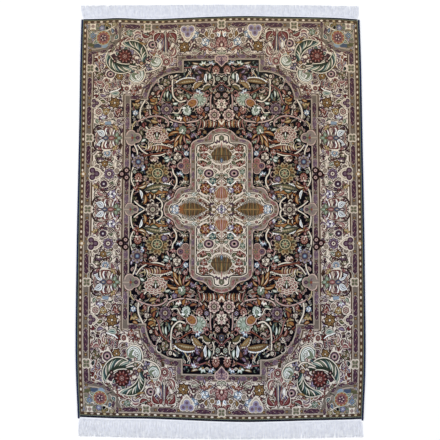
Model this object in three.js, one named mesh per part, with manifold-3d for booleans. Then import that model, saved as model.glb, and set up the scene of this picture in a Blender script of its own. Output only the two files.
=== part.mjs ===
// A hand-knotted rug lying flat: knotted body, overcast side edges, end bands and warp fringes.
// Millimetres, +Z up. The warps run along Y, and the origin lies under the middle of the whole piece.
import * as THREE from "three";
import { mergeVertices } from "three/addons/utils/BufferGeometryUtils.js";
import Module from "manifold-3d";

const wasm = await Module();
wasm.setup();

const GAP = 0.3; // left between neighbouring pieces
const BODY_THICKNESS = 6; // foundation and pile together
const SIDE_STEPS = 36; // stations along a side edge
const END_STEPS = 28; // stations along an end edge
const CORNER_X = 756; // where the end edges meet the side edges, near enough for their slope

// How far the outer side edges lie from the centre line, from the bottom end to the top end.
const SIDE_EDGES = [
  { y: -1075, left: 750, right: 751 },
  { y: -960, left: 756, right: 757 },
  { y: -855, left: 762, right: 763 },
  { y: -700, left: 767, right: 767 },
  { y: -430, left: 768, right: 768 },
  { y: 0, left: 766, right: 767 },
  { y: 430, left: 761, right: 763 },
  { y: 860, left: 758, right: 759 },
  { y: 1095, left: 754, right: 753 },
];

// Where the woven part stops at each end, from the left edge to the right edge.
const END_EDGES = [
  { x: -760, bottom: -1045, top: 1080 },
  { x: -640, bottom: -1050, top: 1083 },
  { x: -555, bottom: -1053, top: 1087 },
  { x: -385, bottom: -1055, top: 1081 },
  { x: -215, bottom: -1061, top: 1087 },
  { x: -45, bottom: -1068, top: 1094 },
  { x: 130, bottom: -1072, top: 1098 },
  { x: 300, bottom: -1069, top: 1095 },
  { x: 470, bottom: -1064, top: 1092 },
  { x: 640, bottom: -1060, top: 1087 },
  { x: 760, bottom: -1056, top: 1078 },
];

// The overcast cord along each side: its width, height and how far it runs past each end edge.
const SELVEDGE = { width: 11, height: 7, pastTop: -1, pastBottom: 8 };
const SELVEDGE_SECTION = [
  { across: 0.14, up: 0 },
  { across: 0, up: 0.3 },
  { across: 0.06, up: 0.72 },
  { across: 0.32, up: 1 },
  { across: 0.68, up: 1 },
  { across: 0.94, up: 0.72 },
  { across: 1, up: 0.3 },
  { across: 0.86, up: 0 },
];

// The flat-woven band that closes the pile at each end, and the white web that holds the warps.
const BAND = { top: 7, bottom: 11, height: 4.4 };
const WEB = { top: 8, bottom: 10, height: 2.6 };
const STRIP_SECTION = [
  { across: 0, up: 0 },
  { across: 0.04, up: 0.8 },
  { across: 0.2, up: 1 },
  { across: 0.8, up: 1 },
  { across: 0.96, up: 0.8 },
  { across: 1, up: 0 },
];

// The fringe: locks of warp ends, level on the floor from root to tip.
const LOCK = { count: 110, width: 7, height: 2.2, root: 2 };
const LOCK_STATIONS = [
  { along: 0, width: 1, height: 1 },
  { along: 0.45, width: 1.06, height: 0.92 },
  { along: 1, width: 0.5, height: 0.6 },
];
const FRINGE_TIPS = [
  { x: -760, bottom: -1147, top: 1157 },
  { x: -380, bottom: -1156, top: 1160 },
  { x: 0, bottom: -1162.5, top: 1162.5 },
  { x: 380, bottom: -1159, top: 1160 },
  { x: 760, bottom: -1152, top: 1153 },
];
// How far the outermost locks lean outwards (or inwards, when negative) from root to tip.
const FRINGE_LEAN = { top: { left: -7, right: -2 }, bottom: { left: 9, right: 10 } };
const LOCK_SWAY = 1.5; // the largest sideways wander of a tip
const LOCK_SHORTER = 5; // the most that a lock stops short of the line of tips

const COLOURS = {
  pile: 0x6b5a50,
  navy: 0x1a2340,
  warp: 0xe4e6ea,
};

// A smooth curve through a table's rows: a cubic between rows, with the slope at each row taken
// from its two neighbours.
function along(rows, key, column, at) {
  const last = rows.length - 1;
  let i = 0;
  while (i < last - 1 && at > rows[i + 1][key]) i += 1;
  const slope = (k) => {
    const a = rows[Math.max(k - 1, 0)];
    const b = rows[Math.min(k + 1, last)];
    return (b[column] - a[column]) / (b[key] - a[key]);
  };
  const p = rows[i];
  const q = rows[i + 1];
  const span = q[key] - p[key];
  const t = THREE.MathUtils.clamp((at - p[key]) / span, 0, 1);
  const s = t * t * (3 - 2 * t);
  const rise = t * (1 - t) * (1 - t) * slope(i) - t * t * (1 - t) * slope(i + 1);
  return p[column] + (q[column] - p[column]) * s + rise * span;
}

// x of a side edge (side -1 or 1) at y, moved inwards by inset.
function sideX(side, y, inset) {
  return side * (along(SIDE_EDGES, "y", side < 0 ? "left" : "right", y) - inset);
}

// y of an end edge ("top" or "bottom") at x, moved inwards by inset.
function endY(end, x, inset) {
  return along(END_EDGES, "x", end, x) - (end === "top" ? inset : -inset);
}

// An even wander between -1 and 1 for the k-th of a row of like things.
function wander(k, seed) {
  const s = Math.sin(k * 12.9898 + seed * 78.233) * 43758.5453;
  return 2 * (s - Math.floor(s)) - 1;
}

// Evenly spaced values from a to b, both included.
function spread(a, b, steps) {
  return Array.from({ length: steps + 1 }, (_, k) => a + ((b - a) * k) / steps);
}

// A closed body through rings that each hold the same number of points, capped at both ends.
function loft(rings) {
  const n = rings[0].length;
  const positions = rings.flat().flatMap((p) => [p.x, p.y, p.z]);
  const faces = [];
  for (let r = 0; r < rings.length - 1; r += 1) {
    for (let k = 0; k < n; k += 1) {
      const a = r * n + k;
      const b = r * n + ((k + 1) % n);
      faces.push(a, b, b + n, a, b + n, a + n);
    }
  }
  const end = (rings.length - 1) * n;
  for (let k = 1; k < n - 1; k += 1) {
    faces.push(0, k + 1, k, end, end + k, end + k + 1);
  }
  const geometry = new THREE.BufferGeometry();
  geometry.setAttribute("position", new THREE.Float32BufferAttribute(positions, 3));
  geometry.setIndex(faces);
  return geometry;
}

// A closed geometry as a manifold solid, turned to face out if its rings ran the other way.
function toSolid(geometry) {
  const bare = new THREE.BufferGeometry();
  bare.setAttribute("position", geometry.getAttribute("position"));
  bare.setIndex(geometry.index);
  const merged = mergeVertices(bare, 1e-3);
  const triVerts = new Uint32Array(merged.index.array);
  const mesh = { numProp: 3, vertProperties: merged.attributes.position.array, triVerts };
  const solid = new wasm.Manifold(new wasm.Mesh(mesh));
  if (solid.volume() > 0) return solid;
  triVerts.reverse();
  return new wasm.Manifold(new wasm.Mesh(mesh));
}

// A manifold solid back as a three.js geometry.
function toGeometry(solid) {
  const { vertProperties, triVerts } = solid.getMesh();
  const geometry = new THREE.BufferGeometry();
  geometry.setAttribute("position", new THREE.Float32BufferAttribute(vertProperties, 3));
  geometry.setIndex(Array.from(triVerts));
  return geometry;
}

// The knotted body: a flat slab inside the side cords and the end bands.
function bodyGeometry() {
  const sideInset = SELVEDGE.width + GAP;
  const cornerX = CORNER_X - sideInset;
  const bottomInset = BAND.bottom + GAP;
  const topInset = BAND.top + GAP;
  const side = (sign) => {
    const low = endY("bottom", sign * cornerX, bottomInset);
    const high = endY("top", sign * cornerX, topInset);
    return spread(low, high, SIDE_STEPS).map((y) => [sideX(sign, y, sideInset), y]);
  };
  const end = (name, inset) =>
    spread(-cornerX, cornerX, END_STEPS)
      .slice(1, -1)
      .map((x) => [x, endY(name, x, inset)]);
  const outline = [
    ...end("bottom", bottomInset),
    ...side(1),
    ...end("top", topInset).reverse(),
    ...side(-1).reverse(),
  ];
  const shape = new THREE.Shape(outline.map(([x, y]) => new THREE.Vector2(x, y)));
  return new THREE.ExtrudeGeometry(shape, { depth: BODY_THICKNESS, bevelEnabled: false });
}

// The cord overcast along one side edge.
function selvedgeGeometry(sign) {
  const cornerX = sign * CORNER_X;
  const low = endY("bottom", cornerX, -SELVEDGE.pastBottom);
  const high = endY("top", cornerX, -SELVEDGE.pastTop);
  const rings = spread(low, high, SIDE_STEPS).map((y) =>
    SELVEDGE_SECTION.map(
      ({ across, up }) =>
        new THREE.Vector3(
          sideX(sign, y, across * SELVEDGE.width),
          y,
          up * SELVEDGE.height,
        ),
    ),
  );
  return loft(rings);
}

// A flat strip along an end edge, between two insets, held clear of the side cords.
function endStripGeometry(end, outer, inner, height) {
  const reach = CORNER_X - SELVEDGE.width - 4 * GAP;
  const corner = (sign) => {
    const y = endY(end, sign * reach, outer);
    return sideX(sign, y, SELVEDGE.width + GAP);
  };
  const rings = spread(corner(-1), corner(1), END_STEPS).map((x) =>
    STRIP_SECTION.map(
      ({ across, up }) =>
        new THREE.Vector3(x, endY(end, x, outer + (inner - outer) * across), up * height),
    ),
  );
  return loft(rings);
}

// One lock of warp ends, from inside the web to its tip.
function lockGeometry(end, k) {
  const share = (2 * (k + 0.5)) / LOCK.count - 1; // -1 at the left edge, 1 at the right edge
  const halfSpan = CORNER_X - SELVEDGE.width - LOCK.width / 2 - 2;
  const rootX = share * halfSpan;
  const lean = FRINGE_LEAN[end][share < 0 ? "left" : "right"] * share * Math.abs(share);
  const tipX = rootX + lean + LOCK_SWAY * wander(k, 1);
  const sign = end === "top" ? 1 : -1;
  const rootY = endY(end, rootX, -(WEB[end] - LOCK.root));
  const shorter = (LOCK_SHORTER * (1 + wander(k, 2))) / 2;
  const tipY = along(FRINGE_TIPS, "x", end, rootX) - sign * shorter;
  const rings = LOCK_STATIONS.map(({ along: t, width, height }) => {
    const x = rootX + (tipX - rootX) * t * t;
    const y = rootY + (tipY - rootY) * t;
    const half = (LOCK.width * width) / 2;
    const z = LOCK.height * height;
    return [
      new THREE.Vector3(x - half, y, 0),
      new THREE.Vector3(x + half, y, 0),
      new THREE.Vector3(x + half * 0.55, y, z),
      new THREE.Vector3(x - half * 0.55, y, z),
    ];
  });
  return loft(rings);
}

// The web and its locks, joined at the roots.
function fringeGeometry(end) {
  const web = endStripGeometry(end, -WEB[end], -GAP, WEB.height);
  const locks = Array.from({ length: LOCK.count }, (_, k) => lockGeometry(end, k));
  return toGeometry(wasm.Manifold.union([web, ...locks].map(toSolid)));
}

const rug = new THREE.Group();

function addPiece(name, geometry, colour, roughness) {
  const material = new THREE.MeshStandardMaterial({ color: colour, roughness, metalness: 0 });
  const piece = new THREE.Mesh(geometry, material);
  piece.name = name;
  rug.add(piece);
}

addPiece("rug_body", bodyGeometry(), COLOURS.pile, 0.85);
for (const [side, sign] of [["left", -1], ["right", 1]]) {
  const cord = toGeometry(toSolid(selvedgeGeometry(sign)));
  addPiece(`selvedge_${side}`, cord, COLOURS.navy, 0.75);
}
for (const end of ["top", "bottom"]) {
  const band = toGeometry(toSolid(endStripGeometry(end, 0, BAND[end], BAND.height)));
  addPiece(`end_band_${end}`, band, COLOURS.navy, 0.8);
  addPiece(`fringe_${end}`, fringeGeometry(end), COLOURS.warp, 0.7);
}

export default rug;
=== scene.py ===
"""A hand-knotted rug lying flat on a pale floor: knotted pile, woven back, overcast sides, end bands
and warp fringes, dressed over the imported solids."""

import math

import bpy
import numpy as np
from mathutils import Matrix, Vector
from mathutils.geometry import delaunay_2d_cdt


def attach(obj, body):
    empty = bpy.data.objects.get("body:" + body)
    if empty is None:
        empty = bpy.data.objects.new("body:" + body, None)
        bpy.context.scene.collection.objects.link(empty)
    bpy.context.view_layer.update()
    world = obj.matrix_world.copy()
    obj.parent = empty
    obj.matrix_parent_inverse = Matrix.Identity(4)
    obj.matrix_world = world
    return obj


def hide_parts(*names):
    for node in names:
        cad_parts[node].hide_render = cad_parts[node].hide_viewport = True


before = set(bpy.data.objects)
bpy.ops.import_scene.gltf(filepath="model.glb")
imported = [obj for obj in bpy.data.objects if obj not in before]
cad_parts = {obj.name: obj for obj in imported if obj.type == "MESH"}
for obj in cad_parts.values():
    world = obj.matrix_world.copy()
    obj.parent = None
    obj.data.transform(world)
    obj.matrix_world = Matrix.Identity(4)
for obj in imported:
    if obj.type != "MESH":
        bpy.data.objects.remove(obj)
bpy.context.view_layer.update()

# ---- Sizes of the cloth, in metres ----

GAP = 0.0003  # left between neighbouring pieces
CORNER_X = 0.756  # where the end edges meet the side edges, near enough for their slope
PILE_X = 0.755  # half the pile's width, near enough to look up the end edges by

# How far the outer side edges lie from the centre line: y, left, right.
SIDE_EDGES = np.array([
    (-1.075, 0.750, 0.751),
    (-0.960, 0.756, 0.757),
    (-0.855, 0.762, 0.763),
    (-0.700, 0.767, 0.767),
    (-0.430, 0.768, 0.768),
    (0.000, 0.766, 0.767),
    (0.430, 0.761, 0.763),
    (0.860, 0.758, 0.759),
    (1.095, 0.754, 0.753),
])

# Where the woven part stops at each end: x, bottom, top.
END_EDGES = np.array([
    (-0.760, -1.045, 1.080),
    (-0.640, -1.050, 1.083),
    (-0.555, -1.053, 1.087),
    (-0.385, -1.055, 1.081),
    (-0.215, -1.061, 1.087),
    (-0.045, -1.068, 1.094),
    (0.130, -1.072, 1.098),
    (0.300, -1.069, 1.095),
    (0.470, -1.064, 1.092),
    (0.640, -1.060, 1.087),
    (0.760, -1.056, 1.078),
])

# Where the fringe tips reach: x, bottom, top.
FRINGE_TIPS = np.array([
    (-0.760, -1.147, 1.157),
    (-0.380, -1.156, 1.160),
    (0.000, -1.1625, 1.1625),
    (0.380, -1.159, 1.160),
    (0.760, -1.152, 1.153),
])

SELVEDGE_WIDTH = 0.011
SELVEDGE_HEIGHT = 0.007
SELVEDGE_PAST = {"top": -0.001, "bottom": 0.008}  # how far the cords run past each end edge
BAND_WIDTH = {"top": 0.007, "bottom": 0.011}
BAND_HEIGHT = 0.0044
WEB_WIDTH = {"top": 0.008, "bottom": 0.010}
WEB_HEIGHT = 0.0026
END_SIGN = {"top": 1, "bottom": -1}
END_COLUMN = {"bottom": 1, "top": 2}
PILE_TOP = 0.0062  # height of the pile's face over the floor
BACK_TOP = 0.0028  # where the pile meets the woven back
SEAM = 0.0001  # left between the pile and the back
EDGE_TURN = 0.22  # the face turns down by this share of the thickness at the cloth's own edge
KNOTS_PER_METRE = 620

CORD_PITCH = 0.004  # from one turn of the overcasting yarn to the next
BAND_PITCH = 0.0046
RINGS_PER_TURN = 3
LOCKS = 110
YARNS_IN_LOCK = 9
YARN_RADIUS = 0.00128
YARN_RINGS = 8
FRINGE_SPREAD = 0.011  # how far the outermost yarns lie outside their roots
FRINGE_INSET = 0.004  # from the web's ends to the first and the last root
ROOT_DEPTH = 0.003  # how far the roots lie inside the web
FRINGE_LEAN = {"top": (-0.007, 0.005), "bottom": (0.002, 0.001)}  # at the left, and what the right has more
LEAN_SPREAD = (0.0012, 0.002)  # of the locks, and of the yarns in them
REACH_SPREAD = (0.0022, 0.0022)


def along(rows, column, at):
    """A smooth curve through a table: between rows i and i+1, with s = 3t^2 - 2t^3,
    p + (q - p) s + span (t (1-t)^2 m_i - t^2 (1-t) m_(i+1)), m the slope between neighbours."""
    keys, values = rows[:, 0], rows[:, column]
    at = np.clip(at, keys[0], keys[-1])
    i = np.clip(np.searchsorted(keys, at, side="right") - 1, 0, len(keys) - 2)
    before = np.maximum(np.arange(len(keys)) - 1, 0)
    after = np.minimum(np.arange(len(keys)) + 1, len(keys) - 1)
    slope = (values[after] - values[before]) / (keys[after] - keys[before])
    span = keys[i + 1] - keys[i]
    t = (at - keys[i]) / span
    s = t * t * (3 - 2 * t)
    rise = t * (1 - t) ** 2 * slope[i] - t * t * (1 - t) * slope[i + 1]
    return values[i] + (values[i + 1] - values[i]) * s + rise * span


def side_x(side, y, inset=0):
    """x of a side edge (side -1 or 1) at y, moved inwards by inset."""
    return side * (along(SIDE_EDGES, 1 if side < 0 else 2, y) - inset)


def end_y(end, x, inset=0):
    """y of an end edge at x, moved inwards by inset."""
    return along(END_EDGES, END_COLUMN[end], x) - END_SIGN[end] * inset


# ---- The design chart ----
# One quarter is drawn in squares: u from the middle towards a side, v from the middle towards an end.
# The other quarters mirror it.

CHART_U = 139.4  # squares from the middle to the side cord
CHART_V = 189.4  # squares from the middle to the end band
MIDDLE = (0.0053, 0.0475)  # where the middle of the design lies on the floor, metres

# How the weaving let the design run lengthwise: squares from the middle, then metres from the
# middle towards the top end and towards the bottom end.
STATIONS = np.array([
    (0, 0.000, 0.000),
    (36, 0.194, 0.184),
    (72, 0.388, 0.390),
    (107, 0.579, 0.592),
    (141.5, 0.767, 0.822),
    (161, 0.871, 0.940),
    (189.4, 1.041, 1.107),
])

# The dyed yarns, as sRGB.
DYES = {
    "ink": (9, 6, 14),
    "navy": (22, 28, 56),
    "brown": (44, 27, 26),
    "umber": (82, 60, 46),
    "ochre": (114, 86, 54),
    "gold": (150, 118, 76),
    "amber": (154, 100, 56),
    "straw": (190, 172, 134),
    "cream": (232, 219, 200),
    "ivory": (230, 216, 200),
    "white": (248, 245, 240),
    "sand": (176, 160, 144),
    "beige": (140, 126, 116),
    "fawn": (114, 102, 92),
    "khaki": (100, 98, 80),
    "blush": (160, 116, 108),
    "shell": (206, 178, 166),
    "rust": (128, 74, 58),
    "red": (100, 42, 42),
    "rose": (138, 88, 86),
    "pink": (190, 158, 150),
    "plum": (72, 46, 60),
    "mauve": (110, 88, 102),
    "lilac": (150, 140, 164),
    "slate": (72, 82, 102),
    "sky": (138, 154, 170),
    "teal": (58, 82, 86),
    "mint": (166, 178, 164),
    "sage": (112, 120, 98),
    "olive": (88, 86, 60),
    "moss": (42, 50, 40),
}
DYE_NAMES = list(DYES)
PLAIN_GROUND = (150, 138, 120)  # the undyed foundation


def disc(radius, sides=10, squash=1):
    """A round outline of the given radius, its height times squash."""
    t = np.linspace(0, 2 * np.pi, sides, endpoint=False)
    return np.column_stack([radius * np.cos(t), radius * squash * np.sin(t)])


def scallop(radius, lobes, depth=0.16, steps=4, squash=1):
    """A lobed outline, r(t) = radius (1 - depth + depth |cos(lobes t / 2)|)."""
    t = np.linspace(0, 2 * np.pi, lobes * steps, endpoint=False)
    r = radius * (1 - depth + depth * np.abs(np.cos(lobes * t / 2)))
    return np.column_stack([r * np.cos(t), r * squash * np.sin(t)])


def star(radius, tips, depth):
    """A pointed outline with the given number of tips, its hollows at radius (1 - depth)."""
    t = np.linspace(0, 2 * np.pi, tips * 2, endpoint=False)
    r = radius * (1 - depth * (np.arange(tips * 2) % 2))
    return np.column_stack([r * np.cos(t), r * np.sin(t)])


def drop(length, width, bend=0, steps=5):
    """A leaf from the origin along x, pointed at both ends: half width (width / 2) sin(pi s^0.8),
    its middle pushed sideways by bend times its length."""
    s = np.linspace(0, 1, steps + 1)
    half = width / 2 * np.sin(np.pi * s ** 0.8)
    spine = bend * length * 4 * s * (1 - s)
    upper = np.column_stack([length * s, spine + half])
    lower = np.column_stack([length * s, spine - half])[1:-1]
    return np.vstack([upper, lower[::-1]])


def oval(length, width, sides=8):
    """A rounded petal from the origin along x."""
    return disc(length / 2, sides, width / length) + (length / 2, 0)


def turned(shape, degrees):
    """A shape turned about the origin."""
    a = math.radians(degrees)
    return shape @ np.array([[math.cos(a), math.sin(a)], [-math.sin(a), math.cos(a)]])


def placed(shape, at, turn=0, size=1):
    """A shape grown by size, turned and then moved to a place on the chart."""
    return turned(np.asarray(shape) * size, turn) + np.asarray(at, float)


def fan(shape, count, spread, reach=0):
    """Copies of a shape that starts at the origin, spread over an angle and moved out by reach."""
    if spread >= 360:
        angles = np.arange(count) * 360 / count
    else:
        angles = np.linspace(-spread / 2, spread / 2, count)
    return [turned(shape + (reach, 0), a) for a in angles]


def curve(points, steps=4):
    """A smooth path through given points (a Catmull-Rom cubic on each span)."""
    p = np.asarray(points, float)
    q = np.vstack([2 * p[0] - p[1], p, 2 * p[-1] - p[-2]])
    s = (np.arange(steps) / steps)[None, :, None]
    a, b, c, d = (q[k:len(q) - 3 + k, None] for k in range(4))
    inner = 2 * b + (c - a) * s + (2 * a - 5 * b + 4 * c - d) * s ** 2
    spans = 0.5 * (inner + (3 * b - a - 3 * c + d) * s ** 3)
    return np.vstack([spans.reshape(-1, 2), p[-1]])


def ribbon(path, width, ends=1):
    """The outline of a line of the given width; ends below 1 thins it towards both ends."""
    step = np.gradient(path, axis=0)
    across = np.column_stack([-step[:, 1], step[:, 0]])
    across /= np.linalg.norm(across, axis=1)[:, None]
    s = np.linspace(0, np.pi, len(path))
    half = (width / 2 * (ends + (1 - ends) * np.sin(s)))[:, None]
    return np.vstack([path + across * half, (path - across * half)[::-1]])


def facing(outline):
    """The outline, its corners put counter-clockwise: the sum of x_i y_(i+1) - x_(i+1) y_i is positive."""
    x, y = outline.T
    return outline if np.dot(x, np.roll(y, -1)) >= np.dot(y, np.roll(x, -1)) else outline[::-1]


class Chart:
    """Shapes laid over one another in order, each in one dye."""

    def __init__(self):
        self.shapes = []
        self.dyes = []
        self.ground = "ivory"  # what shows as a thin line about each motif

    def fill(self, shape, dye, at=(0, 0), turn=0, size=1):
        """Lay one shape, or a list of shapes, over what is there."""
        for one in shape if isinstance(shape, list) else [shape]:
            self.shapes.append(facing(placed(one, at, turn, size)))
            self.dyes.append(DYE_NAMES.index(dye))

    def pen(self, at, turn=0, size=1):
        """A way to lay many shapes at one place: it takes a shape, its dye and a further turn."""
        return lambda shape, dye, more=0: self.fill(shape, dye, at, turn + more, size)


# What a motif's dyes are: edge, body, stripe, ring and heart.
SCHEMES = {
    "rose": "brown rose pink cream red",
    "pink": "brown pink cream sand olive",
    "mauve": "plum mauve lilac cream plum",
    "lilac": "plum lilac white slate mint",
    "gold": "brown gold straw cream olive",
    "ochre": "brown ochre gold cream rust",
    "rust": "brown rust pink cream red",
    "sky": "slate sky white cream rose",
    "sage": "moss sage mint cream ochre",
    "mint": "moss mint white sage gold",
    "beige": "brown beige cream sand sage",
    "dusk": "brown mauve beige sand ochre",
    "haze": "plum beige lilac slate sky",
    "cream": "brown cream white sand rose",
    "olive": "brown olive sand gold cream",
    "plum": "ink plum mauve lilac cream",
    "teal": "moss teal mint cream brown",
}


def rosette(chart, at, radius, scheme, lobes=6, turn=0):
    """An open flower of pointed petals, long and short in turn and in two dyes, each with a dark line,
    about a dark heart."""
    edge, body, stripe, ring, heart = SCHEMES[scheme].split()
    lay = chart.pen(at, turn)
    petal = drop(radius, radius * 2.1 * math.sin(math.pi / lobes))
    for k in range(lobes):
        lay(petal * (1.24, 1.14)[k % 2] - (0.1, 0), edge, 360 * k / lobes)
    for k in range(lobes):
        inner = petal * ((0.94, 0.82)[k % 2], 0.74) + (radius * 0.08, 0)
        lay(inner, (body, stripe)[k % 2], 360 * k / lobes)
    lay(fan(drop(radius * 0.5, radius * 0.13, 0, 2), lobes, 360, radius * 0.3), edge)
    lay(disc(radius * 0.3, 8), edge)
    lay(disc(radius * 0.18, 5), (ring, heart)[lobes % 2])


def petal_rosette(chart, at, radius, scheme):
    """A flower of eight round petals, each split by a dark line, about a dark ring."""
    edge, body, stripe, ring, heart = SCHEMES[scheme].split()
    lay = chart.pen(at)
    width = 2 * radius * math.sin(math.pi / 8) * 0.8
    lay(scallop(radius * 1.06, 8, 0.1), "brown")
    lay(fan(oval(radius * 0.6, width), 8, 360, radius * 0.4), body)
    lay(fan(oval(radius * 0.26, width * 0.5, 6), 8, 360, radius * 0.7), stripe)
    lay(fan(drop(radius * 0.34, width * 0.3, 0, 2), 8, 360, radius * 0.46), edge)
    for share, sides, dye in ((0.5, 10, edge), (0.36, 8, ring), (0.2, 6, heart)):
        lay(disc(radius * share, sides), dye)


def ring_flower(chart, at, radius, dyes):
    """A small flower: a dark lobed rim, pale petals parted by dark lines, and a dark heart."""
    outer, ring, heart = dyes.split()
    lay = chart.pen(at, 22)
    lay(scallop(radius, 6, 0.2, 3), outer)
    lay(scallop(radius * 0.8, 6, 0.34, 3), ring)
    lay(fan(drop(radius * 0.5, radius * 0.16, 0, 2), 6, 360, radius * 0.3), outer, 30)
    lay(disc(radius * 0.36, 8), heart, -22)
    lay(disc(radius * 0.17, 5), "cream", -22)


def eyed_flower(chart, at, radius, ring):
    """A round flower: a dark rim, two pale rings and a dark eye."""
    layers = ((1.08, "umber"), (0.94, "plum"), (0.78, ring), (0.6, "pink"), (0.4, "beige"), (0.3, "ink"))
    for share, dye in layers:
        chart.fill(disc(radius * share, 12, 0.88), dye, at)


def striped(chart, at, half, reach, power, turn, edges, dyes, lean):
    """A flower of close strokes side by side, one for each dye. The half length of a stroke at offset y is
    half (1 - |y / reach| ^ power); edges are rims as (width, dye, how wide each spike is); the outer
    strokes lean outwards."""
    lay = chart.pen(at, turn)
    dyes = dyes.split()
    count = len(dyes)
    offset = (2 * np.arange(count) + 1 - count) / count
    high = half * (1 - np.abs(offset) ** power)
    wide = 2 * reach / count
    for grow, dye, share in edges:
        for y, h in zip(offset, high):
            stroke = drop(2 * h + grow * 2, wide * share) - (h + grow, 0)
            lay(turned(stroke, -lean * y) + (0, y * reach), dye)
    for k, (y, h) in enumerate(zip(offset, high)):
        for long, narrow, shade in ((2 * h, 0.86, dyes[k]), (h * 0.9, 0.3, dyes[(k + 2) % count])):
            stroke = drop(long, wide * narrow, 0, 4) - (long / 2, 0)
            lay(turned(stroke, -lean * y) + (0, y * reach), shade)


def palmette(chart, at, size, turn, scheme, strokes=9, wide=0.9, core=None):
    """A flower seen from the side that points along turn: a lobed rim, strokes that fan out from its
    base, a pointed core and two sepals."""
    edge, body, stripe, ring, _ = SCHEMES[scheme].split()
    lay = chart.pen(at, turn)
    around = scallop(size, 2 * strokes - 5, 0.13, 3)
    around[:, 0] *= np.where(around[:, 0] > 0, 1.08, 0.86)
    around[:, 1] *= wide
    lay(around, edge)
    lay(around * 0.88, body)
    for long, narrow, steps, reach, dye in ((0.62, 0.2, 4, 0.42, stripe), (0.2, 0.09, 3, 0.68, edge)):
        strokes_out = fan(drop(size * long, size * narrow, 0, steps), strokes, 250, size * reach)
        lay([one * (1, wide) - (size * 0.22, 0) for one in strokes_out], dye)
    lay(drop(size * 1.05, size * 0.72) - (size * 0.62, 0), edge)
    lay(drop(size * 0.82, size * 0.46) - (size * 0.54, 0), core or body)
    lay([one - (size * 0.42, 0) for one in fan(drop(size * 0.5, size * 0.12, 0, 4), 3, 34)], ring)
    for side in (-1, 1):
        sepal = turned(drop(size * 0.75, size * 0.34, side * 0.12), side * 118) - (size * 0.5, 0)
        lay(sepal * 1.12, edge)
        lay(sepal, stripe if side > 0 else ring)


def layered_palmette(chart, at, size, turn):
    """A full flower of slender petals in rows about a core of dark and pale strokes."""
    wide = 1.3
    lay = chart.pen(at, turn)
    for count, spread, width, reach in ((13, 360, 0.42, 0.66), (11, 330, 0.36, 0.44), (8, 360, 0.3, 0.22)):
        for grow, dye in ((1.5, "brown"), (1.22, "cream"), (0.86, "blush")):
            petal = drop(size * 0.34 * grow, size * width * grow, 0, 4) - (size * 0.34 * (grow - 1) / 2, 0)
            lay([one * (1, wide) for one in fan(petal, count, spread, size * reach)], dye)
        vein = drop(size * 0.2, size * 0.07, 0, 2)
        lay([one * (1, wide) for one in fan(vein, count, spread, size * reach)], "brown")
    lay(disc(size * 0.36, 10, wide), "brown")
    for place, dye in ((-0.3, "cream"), (-0.15, "olive"), (0, "white"), (0.15, "olive"), (0.3, "cream")):
        lay(drop(size * (0.66 - abs(place)), size * 0.13, 0, 4) - (size * 0.3, -size * place), dye)
    lay(drop(size * 0.5, size * 0.26) - (size * 0.62, 0), "sage")


def bud(chart, at, size, turn, scheme):
    """A small open bud that points along turn."""
    rim, body, stripe, _, heart = SCHEMES[scheme].split()
    lay = chart.pen(at, turn)
    blade = drop(size, size * 0.52, 0, 4)
    lay([one * 1.16 for one in fan(blade, 3, 105)], rim)
    lay(fan(blade, 3, 105), body)
    lay(fan(blade * 0.5, 3, 105, size * 0.22), stripe)
    lay(disc(size * 0.24, 7), heart, -turn)


def leaf(chart, u, v, length, width, turn, bend, dyes, teeth=0):
    """A pointed leaf: rim, body and mid-rib, with a row of pale teeth along its outer side."""
    rim, body, rib, *tooth_dye = dyes.split()
    lay = chart.pen((u, v), turn)
    side = 1 if bend >= 0 else -1
    lay(drop(length + 1.2, width + 1.9, bend, 6) - (0.6, 0), chart.ground)
    if teeth:
        s = (np.arange(teeth) + 0.5) / teeth * 0.86 + 0.05
        spine = bend * length * 4 * s * (1 - s)
        half = width / 2 * np.sin(np.pi * s ** 0.8) * 1.04 + 0.35
        tooth = disc(0.46 * length / teeth, 6, 1.25)
        spots = np.column_stack([length * s, spine + side * half])
        lay([tooth + spot for spot in spots], tooth_dye[0])
    lay(drop(length, width + 0.9, bend, 6), rim)
    lay(drop(length * 0.92, width, bend * 1.06, 6) + (length * 0.04, 0), body)
    lay(drop(length * 0.66, width * 0.34, bend * 0.7, 4) + (length * 0.16, bend * length * 0.3), rib)
    if teeth:
        vein = turned(drop(width * 0.9, 0.55, 0.1, 2) - (width * 0.45, 0), 62 * side)
        lay([vein + (spot[0], height) for spot, height in zip(spots[1:-1], spine[1:-1])], rim)


def comb(chart, start, end, height, dyes, count):
    """A row of upright strokes between two places, their dyes taken in turn."""
    start, end = np.asarray(start, float), np.asarray(end, float)
    dyes = dyes.split()
    turn = math.degrees(math.atan2(*(end - start)[::-1])) + 90
    width = np.linalg.norm(end - start) / count * 0.78
    for k in range(count):
        at = start + (end - start) * (k + 0.5) / count
        chart.fill(drop(height, width, 0.18, 4), dyes[k % len(dyes)], at, turn)


def vine(chart, points, width, dye, rim=None, ends=1):
    """A stem through given points, with an optional rim half a square wide."""
    path = curve(points)
    if rim:
        chart.fill(ribbon(path, width + 1, ends), rim)
    chart.fill(ribbon(path, width, ends), dye)


# ---- Grounds, lines and guards ----

FIELD = (90, 148.6)  # half width and half length of the dark field
SHOULDER = (37.8, 136.3)  # where the field steps in before its round corners
CORNER_CENTRE = (42.5, 109)
CORNER_RADII = (30.5, 27.5)
CORNER_FOOT = 109.1
BORDER = (126.9, 179.2)  # outer edge of the main border
BOX_CENTRE = (134, 184.6)  # the corner boxes are rounded about this place
BOX_LIMIT = (133.8, 184.6)
BOX_POWER = 2.6
PITCH = 5  # squares between the corners of a long straight side
FIELD_PART = (98.9, 155)  # where the woven cloth is parted in the model: at the field's outer line
GUARD_PART = (127.4, 179.3)  # and at the border's outer line


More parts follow.
